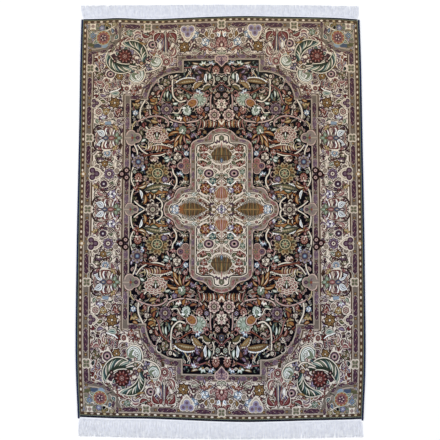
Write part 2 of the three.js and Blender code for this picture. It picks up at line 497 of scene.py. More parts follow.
def stepped(points):
    """A closed outline with its long straight sides divided into steps of about PITCH squares."""
    p = np.asarray(points, float)
    q = np.roll(p, -1, axis=0)
    counts = np.maximum(1, np.ceil(np.linalg.norm(q - p, axis=1) / PITCH).astype(int))
    first = np.repeat(np.cumsum(counts) - counts, counts)
    share = ((np.arange(counts.sum()) - first) / np.repeat(counts, counts))[:, None]
    return np.repeat(p, counts, axis=0) + np.repeat(q - p, counts, axis=0) * share


def bar(u0, v0, u1, v1):
    """A rectangle between two corners."""
    return stepped([(u0, v0), (u1, v0), (u1, v1), (u0, v1)])


def field_outline(grow):
    """The field's edge, moved out by grow at the sides and three quarters of that at the ends."""
    du, dv = grow, grow * 0.75
    radii = (CORNER_RADII[0] + du, CORNER_RADII[1] + dv)
    low = math.asin((CORNER_FOOT + dv - CORNER_CENTRE[1]) / radii[1])
    high = math.acos((SHOULDER[0] + du - CORNER_CENTRE[0]) / radii[0])
    t = np.linspace(low, min(high, math.pi / 2), 16)
    arc = np.column_stack([radii[0] * np.cos(t), radii[1] * np.sin(t)]) + CORNER_CENTRE
    start = [(0, 0), (FIELD[0] + du, 0), (FIELD[0] + du, CORNER_FOOT + dv)]
    close = [(SHOULDER[0] + du, SHOULDER[1] + dv), (SHOULDER[0] + du, FIELD[1] + dv), (0, FIELD[1] + dv)]
    return stepped(np.vstack([start, arc, close]))


def box_outline(radius_u, radius_v):
    """A corner box: the curve |x / a|^p + |y / b|^p = 1 about the corner, closed at the corner."""
    t = np.linspace(0, np.pi / 2, 15)
    x = -radius_u * np.cos(t) ** (2 / BOX_POWER)
    y = -radius_v * np.sin(t) ** (2 / BOX_POWER)
    return stepped(np.vstack([np.column_stack([x, y]) + BOX_CENTRE, [BOX_LIMIT]]))


def guard_bar(chart, at, length, width, turn, dye="plum"):
    """A notched cartouche with pale flecks, on a guard stripe."""
    lay = chart.pen(at, turn)
    half, deep = length / 2, width / 2
    side = [(-half, 0.35), (-half + 1.1, 0.6), (-half + 1.5, 1), (-half * 0.45, 0.82), (-half * 0.3, 1)]
    side += [(-x, y) for x, y in side[::-1]]
    upper = np.array(side) * (1, deep)
    outline = np.vstack([upper, (upper * (1, -1))[::-1]])
    lay(outline * (1.05, 1.2), "sand")
    lay(outline, dye)
    for k, place in enumerate(np.linspace(-half * 0.8, half * 0.8, max(4, int(length / 1.5)))):
        fleck = drop(1.7, 0.7, 0.1, 2) + (place - 0.8, deep * (0.42, -0.42, 0)[k % 3])
        lay(fleck, ("blush", "sand", "mauve", "brown")[k % 4])


def quatrefoil(chart, at, radius, dye, heart, eye, sides):
    """A small blossom of four petals about an eye."""
    chart.fill(scallop(radius, 4, 0.3), dye, at, 45)
    chart.fill(disc(eye, sides), heart, at)


def draw_grounds(chart):
    """The nested grounds and lines, from the rug's edge to the field."""
    for u, v, dye in ((CHART_U, CHART_V, "sage"), (138.7, 188.8, "umber"), (135.2, 186, "sand"),
                      (134, 184.8, "fawn"), (129.2, 180.4, "sand"), (128.2, 179.9, "umber"),
                      (*BORDER, "ivory")):
        chart.fill(bar(0, 0, u, v), dye)
    for outline, dye in (
        (box_outline(37.2, 29.4), "umber"),
        (box_outline(36.6, 28.9), "cream"),
        (bar(129.3, 0, 133.9, 165), "fawn"),
        (bar(0, 180.5, 110, 184.7), "fawn"),
        (box_outline(35.4, 28), "fawn"),
        (box_outline(30.8, 24.5), "sand"),
        (box_outline(29.6, 23.5), "beige"),
    ):
        chart.fill(outline, dye)
    for grow, dye in ((8.8, "sand"), (7.8, "umber"), (6.6, "sand"), (5.5, "fawn"), (1.3, "sand"), (0, "ink")):
        chart.fill(field_outline(grow), dye)


# The middle lines of the guard stripes: the outer one at the sides and ends, then the inner one.
OUTER_SIDE, OUTER_END, INNER_SIDE, INNER_END = 131.5, 182.5, 93.3, 152

# The guard stripes' cartouches: place, length, the way they run.
OUTER_BARS = [(OUTER_SIDE, v, length, 90) for v, length in (
    (151, 12.5), (122.5, 17.5), (93.5, 17.5), (54.5, 17.5), (20, 17))]
OUTER_BARS += [(u, OUTER_END, length, 0) for u, length in ((89.5, 15), (53.5, 17.5), (18, 15))]
INNER_BARS = [(INNER_SIDE, v, length, 90) for v, length in (
    (100.5, 11), (86, 12), (59, 11), (46, 9), (24.5, 12), (10.5, 10), (73, 7), (34.5, 5))]
INNER_BARS += [(86, 112, 10, 0), (75.9, 114.5, 6, 98), (73.2, 122.2, 7, 115), (67.6, 129.6, 7, 132),
               (60.6, 135.4, 6, 147), (52.6, 138.8, 6, 162), (44.6, 140, 6, 176), (41.5, 146, 6, 90)]
INNER_BARS += [(u, INNER_END, length, 0) for u, length in ((32, 8), (21, 8), (10.5, 7))]
INNER_BLOSSOMS = [(93.2, v) for v in (93.5, 65.5, 52.5, 16.5, 4, 79)]
INNER_BLOSSOMS += [(79.6, 112.2), (74.9, 118.2), (70.8, 126), (64.2, 132.8), (56.6, 137.4), (48.6, 139.8),
                   (26.6, 152), (15.7, 152), (38.5, 151.6)]


def draw_guards(chart):
    """Beads, cartouches and small blossoms along the narrow stripes."""
    for k in range(36):
        at = (136.95, 2.6 + 5.2 * k)
        chart.fill(disc(1.55, 8, 0.62), "ochre", at, 90, 1.2)
        chart.fill(disc(1.4, 8, 0.58), ("straw", "cream", "sand")[k % 3], at, 90)
        chart.fill(disc(0.5, 4), "brown", (at[0], at[1] + 2.6))
    for k in range(22):
        at = (3.1 + 6.2 * k, 187.4)
        chart.fill(disc(1.5, 8, 0.6), ("straw", "cream", "sand")[k % 3], at)
        chart.fill(disc(0.6, 4), "moss", (at[0] + 3.1, at[1]))
    for u, v, length, turn in OUTER_BARS:
        guard_bar(chart, (u, v), length + 1, 4.5, turn)
        for end in (-1, 1):
            reach = end * (length / 2 + 2.6)
            spot = (u + reach * math.cos(math.radians(turn)), v + reach * math.sin(math.radians(turn)))
            quatrefoil(chart, spot, 1.7, "umber", "gold", 0.8, 6)
    for k, (u, v, length, turn) in enumerate(INNER_BARS):
        guard_bar(chart, (u, v), length, 4.3, turn, ("plum", "mauve")[k % 2])
    for at in INNER_BLOSSOMS:
        quatrefoil(chart, at, 1.6, "moss", "rose", 0.8, 6)


def draw_ornaments(chart):
    """Leafy quatrefoils and trefoils that break the guards, and the pendants that reach into the field."""
    for at, turn in (((131, 141), 180), ((131, 71.5), 180), ((131, 0), 180), ((74, 182.2), 270),
                     ((0, 183), 270)):
        lay = chart.pen(at, turn + 45)
        lay(scallop(5, 4, 0.26), "cream")
        lay(scallop(4.3, 4, 0.28), "sand")
        lay(fan(drop(3.6, 2.2), 4, 360, 0.4), "olive")
        lay(fan(drop(1.6, 0.9, 0, 4), 4, 360, 1.2), "sage")
        chart.fill(disc(1, 6), "brown", placed([(5.6, 0)], at, turn)[0])
    for at, turn, size, dye in (((126.6, 35.5), 180, 1, "plum"), ((126.5, 106), 180, 0.72, "plum"),
                                ((34, 178.6), 270, 1.05, "lilac")):
        lay = chart.pen(at, turn, size)
        spots = ((-0.6, 3.4), (-0.6, -3.4), (3.6, 0))
        lobes = [disc(3.1, 10) + spot for spot in spots]
        lay(drop(16, 13, 0, 8) - (4.5, 0), "cream")
        lay(drop(14, 11, 0, 8) - (4, 0), "sand")
        lay([lobe * 1.14 for lobe in lobes], "cream")
        lay(lobes, dye)
        lay([disc(1.6, 8) + spot for spot in spots], "mauve")
        lay(disc(1.5, 6), "beige")
    chart.fill(star(3.2, 4, 0.35), "gold", (136.2, 35.3))
    chart.fill(disc(1.5, 6), "cream", (136.2, 35.3))

    # pendants into the field
    for at, turn, size in (((86.6, 71.5), 180, 1), ((87.6, 0), 180, 0.86)):
        lay = chart.pen(at, turn, size)
        lobes = [disc(4.4, 12) + spot for spot in ((-2.6, 2.6), (-2.6, -2.6), (2.2, 0))]
        lay([lobe * 1.2 for lobe in lobes], "brown")
        lay([lobe * 1.13 for lobe in lobes], "shell")
        lay(lobes + [bar(-9.5, -2.6, 1, 2.6)], "beige")
        root = placed([(-1.6, 0)], at, turn)[0]
        for side in (-1, 1):
            for reach, lift, dye in ((5.6, -62, "sage"), (4.6, -18, "khaki"), (4.2, -110, "mauve")):
                blade = drop(reach, 1.7, 0.16 * side, 4) + (0.3, 0)
                chart.fill(blade, dye, root, turn + side * lift, size)
        lay(bar(-9, -0.5, -1, 0.5), "sand")
        chart.fill(scallop(1.5, 5, 0.2), "rust", root, turn, size)
        lay(disc(2, 8) + (3.6, 0), "plum")
        lay(disc(0.9, 6) + (3.6, 0), "mauve")
    for grow, dye in ((1, "shell"), (0.82, "mauve")):
        chart.fill([disc(4.4, 10) + (side * 2.8, 0) for side in (-1, 1)], dye, (0, 149.6), 0, grow)
        chart.fill(drop(10.5, 9, 0, 8), dye, (0, 152 - (1 - grow) * 4), 270, grow)
    for side in (-1, 1):
        chart.fill(fan(drop(2.8, 1.3, 0, 4), 5, 360, 0.3), "pink", (side * 3, 149.4))
    chart.fill(drop(5, 2, 0, 4), "plum", (0, 148.6), 270)

    # the dark quatrefoil on the inner guard
    for at in ((98.2, 35.3), (93.6, 38.9), (93.6, 31.8)):
        chart.fill(scallop(3.6, 8, 0.08, 2), "ink", at)
        for radius, sides, dye in ((2.9, 10, "brown"), (1.7, 8, "pink"), (0.7, 6, "plum")):
            chart.fill(disc(radius, sides), dye, at)


def inside_box(u, v, radius_u=28, radius_v=22):
    """Which places lie on the ground of a corner box of the given size."""
    x, y = (BOX_CENTRE[0] - u) / radius_u, (BOX_CENTRE[1] - v) / radius_v
    return x ** BOX_POWER + y ** BOX_POWER < 1


def draw_corner_box(chart):
    """The flowers in the rounded corner boxes."""
    undergrowth(chart, BOX_CENTRE, 3, 8, "olive umber sage fawn", "sage sand fawn lilac mint khaki gold",
                "sand mint moss", 0.85, inside_box)
    chart.fill(bar(122.5, 163.5, 133.6, 167), "olive")
    chart.fill(bar(120.6, 162.4, 127.5, 166.4), "slate")
    chart.fill(drop(8, 3.6, 0.1), "sky", (120.5, 163.2), 160)
    chart.fill(disc(2.6, 8), "beige", (111.8, 166.1))
    vine(chart, [(133, 176), (126, 176.5), (119, 178), (112, 180), (106, 184)], 0.9, "cream")
    vine(chart, [(118, 184), (118, 178), (118.7, 172), (112, 168), (107, 166)], 0.8, "moss")
    for u, v, turn, dyes in ((109, 175.5, 70, "moss slate sky"), (111, 181, 40, "moss olive gold"),
                             (125, 177.5, 200, "brown beige cream"), (123, 168.4, 340, "moss sage mint"),
                             (107.3, 170, 120, "moss teal mint"), (132.6, 172, 100, "moss sage cream")):
        leaf(chart, u, v, 6, 2.6, turn, 0.12, dyes)
    chart.fill(star(4.6, 4, 0.5), "cream", (129.3, 183), 45)
    ring_flower(chart, (129.3, 183.2), 1.9, "brown pink brown")
    ring_flower(chart, (120.3, 181.2), 3, "slate lilac sky")
    ring_flower(chart, (129.2, 174.2), 2.9, "slate sky navy")
    chart.fill(disc(1.6, 6), "ink", (115.2, 181.2))
    ring_flower(chart, (115.6, 184.6), 2.3, "olive gold olive")
    ring_flower(chart, (108, 184.8), 2.3, "moss straw olive")
    for shape, dye in (
        (disc(7.4, 16), "mint"),
        (disc(6.7, 16), "amber"),
        (disc(5.5, 16), "rose"),
        (fan(oval(1.5, 1.1, 6), 10, 360, 4.9), "straw"),
        (disc(3.5, 10), "plum"),
        (fan(oval(1.9, 1.3, 6), 5, 360, 1.1), "shell"),
        (disc(1, 6), "plum"),
    ):
        chart.fill(shape, dye, (118.6, 171.8))
    for u, v, turn in ((106, 177.5, 75), (102.3, 183.2, 90), (110.8, 162.8, 135), (118.5, 158.6, 165),
                       (127.5, 157.3, 0)):
        guard_bar(chart, (u, v), 6.4, 3, turn)


# ---- The main border ----

BORDER_VINES = [
    ([(102.6, 161), (100.3, 167.7), (95.7, 171.5), (88, 172.5), (79, 169.5)], 1.1, "red"),
    ([(100, 111), (101.5, 116), (99.8, 121), (101, 127), (104, 132)], 1, "brown"),
    ([(124.5, 158), (121.5, 150), (122, 142), (119, 136), (112, 130)], 0.8, "rust"),
    ([(123.5, 132), (120.5, 126), (113, 121), (109, 112), (112, 103)], 0.9, "brown"),
    ([(101, 108), (104, 100), (110, 97), (117, 93), (123, 88)], 0.8, "umber"),
    ([(121, 103), (117, 96), (108, 90), (101, 84)], 0.8, "moss"),
    ([(104, 60), (110, 53), (117, 50), (124, 43)], 0.9, "brown"),
    ([(121, 57), (114, 47), (106, 41), (101, 47)], 0.8, "olive"),
    ([(124, 26), (117, 19), (108, 20), (101, 27)], 0.9, "brown"),
    ([(101, 9), (107, 14), (117, 12), (124, 6)], 0.8, "red"),
    ([(50.5, 147), (47.5, 156), (52, 164), (60, 170)], 0.8, "rust"),
    ([(39, 177), (45, 168), (39, 160), (31, 158)], 0.9, "brown"),
    ([(24, 177), (20, 170), (12, 168), (6, 175)], 0.8, "olive"),
    ([(22, 158), (15, 162), (9, 158), (3, 160)], 0.8, "brown"),
    ([(72, 176), (64, 172), (57, 166), (49, 171)], 0.8, "umber"),
    ([(79, 142), (70, 147), (66, 154), (71, 161)], 0.8, "brown"),
    ([(118, 62), (123, 71.5), (118, 81)], 0.8, "brown"),
]

# place, length, width, turn, bend, dyes (rim, body, rib and teeth), how many teeth
BORDER_LEAVES = [
    (96.2, 163.5, 6.5, 3.2, 250, 0.1, "moss teal sage"),
    (106, 157.5, 6.5, 2.2, 215, 0.1, "moss teal mint"),
    (98.2, 176, 5, 2.6, 180, 0.1, "brown ochre gold"),
    (87.5, 175.6, 7.5, 2.6, 175, -0.12, "brown rose pink"),
    (95.6, 169.2, 8, 2.4, 184, -0.12, "brown rose pink"),
    (92.5, 166.5, 13, 2.4, 160, -0.2, "brown gold cream"),
    (116.8, 151.8, 6, 3.8, 270, 0.1, "brown mauve cream"),
    (125, 142.8, 5.2, 2.2, 250, 0.1, "ink moss teal"),
    (121.9, 150, 5, 2, 80, 0, "brown rust gold"),
    (114.8, 106.8, 8, 3, 0, 0.12, "moss olive straw cream", 6),
    (121.3, 115, 8, 2.8, 190, 0.15, "plum mauve lilac"),
    (125, 128, 8.5, 2.6, 175, 0.2, "brown rose pink"),
    (103, 93, 7, 2.6, 60, 0.15, "brown red rose"),
    (124.5, 91, 7, 2.6, 235, 0.15, "moss sage mint"),
    (104.5, 86.5, 6, 2.6, 150, -0.1, "plum mauve beige"),
    (121.8, 86.5, 7, 2.4, 185, 0.1, "brown gold cream"),
    (112.5, 58.5, 7.5, 2.2, 30, 0.1, "brown rose plum"),
    (104, 59, 6.5, 2.6, 300, 0.12, "plum rose mauve"),
    (124.5, 49, 6.5, 2.4, 280, 0.1, "brown sand cream"),
    (112, 47.8, 7, 3, 215, 0.15, "moss sage white cream", 6),
    (104, 47.5, 6.5, 2.4, 275, 0.1, "brown cream ivory"),
    (103.2, 24, 8, 3, 15, 0.2, "moss sage olive cream", 6),
    (101.8, 31, 7.5, 2, 290, 0.2, "brown cream ivory"),
    (122.5, 18, 9, 2.4, 205, 0.15, "plum rose pink"),
    (120, 11.5, 9, 2.4, 185, 0.12, "brown cream sand"),
    (111.5, 24.5, 6, 2.4, 330, 0.1, "moss teal mint"),
    (79, 176.6, 6.5, 2.6, 190, 0.15, "ink moss mint"),
    (52.5, 173.6, 5, 2.4, 200, 0.1, "brown umber gold"),
    (47.8, 174.5, 7.5, 2.6, 195, 0.15, "moss sage cream"),
    (46.2, 156.5, 9, 2.6, 80, 0.12, "moss olive mint"),
    (29.5, 160, 8.5, 2.4, 195, 0.12, "moss sage cream"),
    (30, 156.6, 6.5, 2, 180, 0.1, "brown beige pink"),
    (15, 177.5, 7, 3, 260, 0.12, "brown ochre gold"),
    (13.4, 161.6, 6, 2.2, 215, 0.2, "brown rust gold"),
    (10.5, 166.5, 6, 2.4, 250, 0.1, "brown rose pink"),
    (5, 156.4, 6.5, 2.4, 184, 0.1, "moss sage cream"),
    (69.5, 156.8, 8, 2.2, 100, 0.15, "brown rose pink"),
    (56.5, 149.5, 9, 2.6, 70, -0.1, "plum rose pink"),
    (50, 146, 8, 2, 88, 0.08, "brown rose pink"),
]

# The leaves over the border's flowers, and those beside the comb near its round corner.
LATE_BORDER_LEAVES = [
    (62, 160.8, 6.6, 2.6, 88, 0.06, "brown white cream"),
    (60.6, 177, 12, 3.8, 302, 0.2, "brown red rose"),
    (52.4, 177, 12, 3.8, 236, -0.2, "brown red rose"),
    (61.5, 152.5, 12, 3.6, 70, -0.2, "brown rose cream"),
    (51.5, 152.5, 12, 3.6, 112, 0.2, "brown rose cream"),
    (80.5, 176.8, 10, 3, 200, 0.2, "brown red rose"),
    (88, 170, 9, 2.6, 150, -0.2, "plum mauve cream"),
    (72, 157.6, 8, 2.8, 168, 0.2, "brown red pink"),
]
CORNER_LEAVES = [
    (101.6, 116.6, 9, 3.4, -4, -0.1, "moss mint teal"),
    (118.6, 126, 6.4, 2.6, 200, 0.14, "brown red rose"),
    (116.2, 121.4, 6.4, 2.6, 240, 0.14, "plum mauve cream"),
    (113, 124.8, 6.4, 2.6, 280, 0.14, "brown rose cream"),
    (119.4, 121, 6.4, 2.6, 100, 0.14, "brown red pink"),
]

# kind, place, size, scheme and, where it points somewhere, its turn
BORDER_FLOWERS = [
    ("bud", 112.8, 143.8, 4.6, "ochre", 270),
    ("bud", 68.8, 178.2, 5, "rust", 270),
    ("rosette", 122, 134, 3.6, "olive"),
    ("rosette", 101.6, 132.8, 3.6, "ochre"),
    ("ring", 110.7, 134.8, 4.2, "mauve"),
    ("rosette", 113.6, 123.6, 3, "gold"),
    ("rosette", 106.2, 106.2, 5, "ochre"),
    ("bud", 105.8, 113.5, 4.2, "sage", 90),
    ("ring", 122.2, 97.5, 3.4, "pink"),
    ("rosette", 114.6, 97.8, 3.4, "gold"),
    ("bud", 117.4, 90.5, 4.6, "lilac", 80),
    ("ring", 109.8, 93.6, 2.6, "sand"),
    ("bud", 103, 99, 4.2, "rust", 230),
    ("round", 112.9, 56, 3.6, "sky"),
    ("bud", 121.6, 54.5, 4.4, "olive", 230),
    ("bud", 119.6, 48.5, 4.6, "plum", 100),
    ("rosette", 115.2, 45.6, 3.2, "ochre"),
    ("round", 110.6, 35.5, 5.4, "mauve"),
    ("round", 115.8, 25.4, 3.6, "plum"),
    ("rosette", 107.4, 15.2, 4, "lilac"),
    ("bud", 123, 24, 4.4, "gold", 300),
    ("ring", 103.2, 38.6, 2.6, "sand"),
    ("ring", 122.8, 42.4, 2.6, "beige"),
    ("ring", 69, 165.3, 4.5, "mauve"),
    ("rosette", 37.2, 162.2, 5, "ochre"),
    ("rosette", 27.2, 174.2, 3.6, "sky"),
    ("rosette", 16.4, 166.6, 3.8, "sky"),
    ("bud", 16.8, 159, 4.2, "rust", 90),
    ("ring", 22.2, 168.4, 2.4, "sand"),
    ("ring", 9.2, 172.4, 2.4, "gold"),
    ("rosette", 92.4, 176.4, 2.9, "sage"),
    ("ring", 86.2, 165, 2.4, "rose"),
    ("rosette", 76, 151.5, 3.6, "plum"),
    ("round", 55.2, 147.6, 4.2, "rose"),
    ("ring", 62, 157.5, 2.7, "rose"),
    ("bud", 81, 134.5, 4.4, "mauve", 140),
    ("bud", 106.5, 80.5, 4.4, "gold", 140),
    ("bud", 106.5, 62.5, 4.4, "gold", 220),
    ("bud", 110.5, 145, 3.6, "rust", 130),
    ("ring", 94.5, 120.5, 2.6, "rose"),
    ("rosette", 87.5, 117, 3, "rust"),
    ("ring", 99, 140, 2.6, "mauve"),
]


def flower(chart, kind, u, v, size, scheme, turn=0):
    """One flower of the named kind, with a thin line of the ground about it."""
    at = (u, v)
    if kind in ("round", "palmette"):
        chart.fill(disc(size + 0.6, 12), chart.ground, at)
    elif kind != "bud":
        chart.fill(scallop(size * 1.3, 6, 0.2, 3), chart.ground, at)
    if kind == "rosette":
        rosette(chart, at, size * 1.12, scheme, 6 if size < 4.4 else 8, (u * 37 + v * 11) % 60)
    elif kind == "ring" and size > 3.45:
        eyed_flower(chart, at, size, scheme)
    elif kind == "ring":
        ring_flower(chart, at, size, f"umber {scheme} brown")
    elif kind == "round":
        petal_rosette(chart, at, size, scheme)
    elif kind == "palmette":
        palmette(chart, at, size, turn, scheme)
    else:
        bud(chart, at, size, turn, scheme)


def great_palmette(chart, at):
    """The border's big flower, pointing inwards: short combs above and below a grey and rose heart, two
    pale petals held by dark brackets on one side, and a leafy fruit on the other."""
    lay = chart.pen(at, 180)
    for size, dye in ((13, "brown"), (12.4, "cream"), (11.6, "rose"), (10.6, "beige")):
        lay(scallop(size, 14, 0.07, 3, 0.86), dye)
    for side in (-1, 1):
        for k, x in enumerate(np.linspace(-4, 7.4, 10)):
            for lift, long, wide, dye in ((2.8, 8.4, 1.9, ("brown", "cream", "red", "white", "plum")[k % 5]),
                                          (5.2, 4.2, 0.6, ("shell", "red", "cream", "brown", "rose")[k % 5])):
                lay(turned(drop(long, wide, 0.08 * side, 4), side * (90 - 3.4 * x)) + (x, side * lift), dye)
        for path, wide, dye in (
            ([(-4.6, 9), (-0.5, 10.6), (4.5, 10.2), (8.4, 7.8)], 1.1, "red"),
            ([(-3, 12.6), (-8.6, 12.4), (-12.2, 9.4), (-13, 4.6), (-10.8, 1.4)], 1.5, "brown"),
            ([(5, 13), (10.6, 11.2), (13.6, 6.8), (13.4, 2.2)], 1.2, "brown"),
            ([(4.6, 11.4), (8.6, 12.2), (11.2, 9), (9.4, 6.6)], 1.3, "pink"),
            ([(5.6, 10.8), (8.6, 11), (9.8, 8.6)], 0.8, "white"),
        ):
            lay(ribbon(curve(path) * (1, side), wide, 0.4), dye)
        for reach, wide, dye in ((0, 7.8, "brown"), (0.6, 6.4, "white"), (1.6, 4.4, "sky"),
                                 (2.2, 2.6, "white"), (2.6, 1.1, "slate")):
            lay(turned(drop(10.6 - 1.7 * reach, wide, side * 0.14) + (2.2 + reach, 0), side * -146), dye)
    for x, long, wide, dye in ((-9.6, 7, 3.4, "brown"), (-9.2, 6, 2.4, "mauve"), (-7.6, 3, 1, "cream"),
                               (-4.2, 7, 5.4, "plum"), (-3.8, 6, 4.4, "slate"), (-2.7, 3.2, 1.5, "sand"),
                               (1.2, 7.6, 5, "brown"), (1.6, 6.6, 4, "rose"), (2.6, 4.2, 1.2, "pink")):
        lay(drop(long, wide) + (x, 0), dye)
    lay = chart.pen(placed([(9, 0)], at, 180)[0])
    for long, wide, gap, dye in ((6.6, 4.6, 0.2, "moss"), (6, 4, 0.4, "sage"), (3.6, 1.4, 1.4, "mint")):
        lay(fan(drop(long, wide), 3, 150, gap), dye, 180)
    lay(disc(1.5, 7), "brown")
    lay(disc(0.8, 7), "gold")


def corner_spray(chart):
    """The great curling leaf of the corners: a red palmette held in a ring of striped wings."""
    for points, width, count in (([(114.5, 155), (110.5, 146), (103, 141), (94, 141), (86, 145)], 10, 14),
                                 ([(98, 165.5), (89.5, 165.5), (82, 162), (78, 155.5), (77, 147)], 9, 13)):
        path = curve(points, 5)
        chart.fill(ribbon(path, width + 2.4, 0.4), "moss")
        chart.fill(ribbon(path, width + 1.2, 0.4), "cream")
        chart.fill(ribbon(path, width - 0.6, 0.35), "moss")
        # strokes across the wing, light and dark in turn
        line = curve(points, count)
        step = np.gradient(line, axis=0)[1:-1:4]
        angles = np.degrees(np.arctan2(step[:, 1], step[:, 0])) + 34
        for k, (spot, angle) in enumerate(zip(line[1:-1:4], angles)):
            stroke = drop(width * 1.1, 1.2, 0.12, 4) - (width * 0.55, 0)
            chart.fill(stroke, ("cream", "mint", "teal", "ivory", "sage")[k % 5], spot, angle)
    core = (96.8, 153.1)
    chart.fill(scallop(7.9, 10, 0.14, 3), "brown", core)
    for long, wide, steps, reach, dye in ((5.4, 2.4, 5, 2, "red"), (3.4, 1, 4, 3.2, "rust"),
                                          (1.6, 0.7, 4, 4.6, "pink")):
        chart.fill(fan(drop(long, wide, 0, steps), 10, 360, reach), dye, core)
    ring_flower(chart, core, 3.2, "brown blush red")

    # two leaves that roll in on themselves, held by crossing cream scrolls
    t = np.linspace(-0.6, 4.4, 9)
    coil = np.column_stack([np.cos(t), np.sin(t)]) * np.linspace(5.6, 2.2, 9)[:, None]
    for at, turn, size in (((67, 148.6), 120, 1.15), ((85.8, 133.6), 150, 1.4)):
        lay = chart.pen(at, turn, size)
        for width, dye in ((5.8, "cream"), (4.9, "moss"), (3.5, "mint"), (1.7, "white"), (0.6, "sage")):
            lay(ribbon(coil, width, 0.3), dye)
        lay(drop(7.6, 5, 0.16) - (3.2, 0.6), "sage", 30)
        lay(fan(drop(4.4, 1, 0.1, 4), 5, 80, -0.6), "white", 40)
        lay(fan(drop(3, 0.5, 0.1, 2), 4, 62, 0.4), "olive", 40)
        lay(drop(3.4, 1.7, 0.1, 4) + (3, -3.4), "gold")
        lay(drop(4, 1.2, 0.1, 4) + (-5.2, -2), "teal", 60)
    for path in ([(82.8, 145.4), (78.1, 140.8), (76.2, 134.6), (79.2, 128.2), (86.4, 126.2), (92.3, 129.6)],
                 [(77, 136.8), (69.9, 138.4), (63.2, 141.2), (59.4, 147.1), (61.8, 152.4), (68.5, 153.4)],
                 [(92.6, 142.6), (85, 139.6), (78.4, 139.6), (74.6, 144.6), (76, 151)]):
        vine(chart, path, 1.2, "cream", "brown", 0.6)
    for u, v, dye in ((74, 150.7, "plum"), (74.3, 144, "slate"), (90.5, 147, "umber"),
                      (106.8, 148, "brown"), (80, 146.2, "gold"), (83.5, 141.5, "sage")):
        chart.fill(scallop(2.3, 5, 0.2), "brown", (u, v))
        chart.fill(scallop(1.7, 5, 0.2), dye, (u, v))
        chart.fill(disc(0.8, 6), "pink", (u, v))


def inside_border(u, v):
    """Which places lie on the ivory border, its round corners included and the corner boxes left out."""
    x = np.maximum(u - CORNER_CENTRE[0], 0) / (CORNER_RADII[0] + 8.2)
    y = np.maximum(v - CORNER_CENTRE[1], 0) / (CORNER_RADII[1] + 6)
    within = (u < 98.5) & (v < 154.6) & ((x * x + y * y < 1) | (u < 46.5) | ((v < 117) & (u < 99)))
    return (u < BORDER[0]) & (v < BORDER[1]) & ~within & ~inside_box(u, v, 37, 29.5)


def draw_border(chart):
    """The ivory border: small sprigs, vines, leaves and flowers over them."""
    chart.ground = "ivory"
    undergrowth(chart, BORDER, 3.3, 3, "brown plum ink red moss umber plum",
                "plum red umber mauve khaki mauve rose plum fawn lilac", "cream pink sand brown", 1.14,
                inside_border)
    tendrils(chart, BORDER, 7.5, 4, "brown red umber plum moss", 11, 1, "ivory", inside_border)
    for row in BORDER_VINES:
        vine(chart, *row)
    for row in BORDER_LEAVES:
        leaf(chart, *row)
    great_palmette(chart, (113.6, 71.3))
    great_palmette(chart, (113.2, 0))
    palmette(chart, (0, 165), 7.2, 90, "rose", 9, 0.95)
    chart.fill(drop(5.4, 3.4, 0.1), "white", (2.2, 171), 62)
    chart.fill(drop(3.4, 1.6, 0.1), "sky", (2.8, 172), 62)
    chart.fill(star(2.8, 4, 0.35), "brown", (0, 179))
    chart.fill(star(1.5, 4, 0.35), "pink", (0, 179))
    chart.fill(drop(5, 1.6), "rust", (0, 172.5), 90)
    for row in BORDER_FLOWERS:
        flower(chart, *row)
    striped(chart, (56.6, 165.6), 10.4, 5.2, 2.2, 90, ((1.4, "cream", 2.2), (0.6, "brown", 1.8)),
            "red lilac rose slate cream mauve red rose", 14)
    for side in (-1, 1):
        chart.fill(drop(6.4, 3.8, side * 0.1), "red", (56.6 + side * 2.2, 171.4), 90 - side * 22)
        chart.fill(drop(4, 1.2, side * 0.1), "rose", (56.6 + side * 2.5, 172.6), 90 - side * 22)
    for row in LATE_BORDER_LEAVES:
        leaf(chart, *row)
    comb(chart, (101, 122.4), (110.4, 120.8), 6, "rose plum teal rose mauve", 9)
    vine(chart, [(100.4, 121), (104, 118.6), (108, 117.6), (111.6, 116.6)], 1.3, "white", "brown", 0.5)
    for row in CORNER_LEAVES:
        leaf(chart, *row)
    corner_spray(chart)
    chart.fill(bar(109.6, 84.6, 115.6, 87.6), "sky")
    chart.fill(drop(10, 2.2, 0.15), "cream", (118.6, 60.2), 178)
    chart.fill(drop(9, 2, 0.15), "gold", (83, 168.3), 190)


# ---- The dark field ----

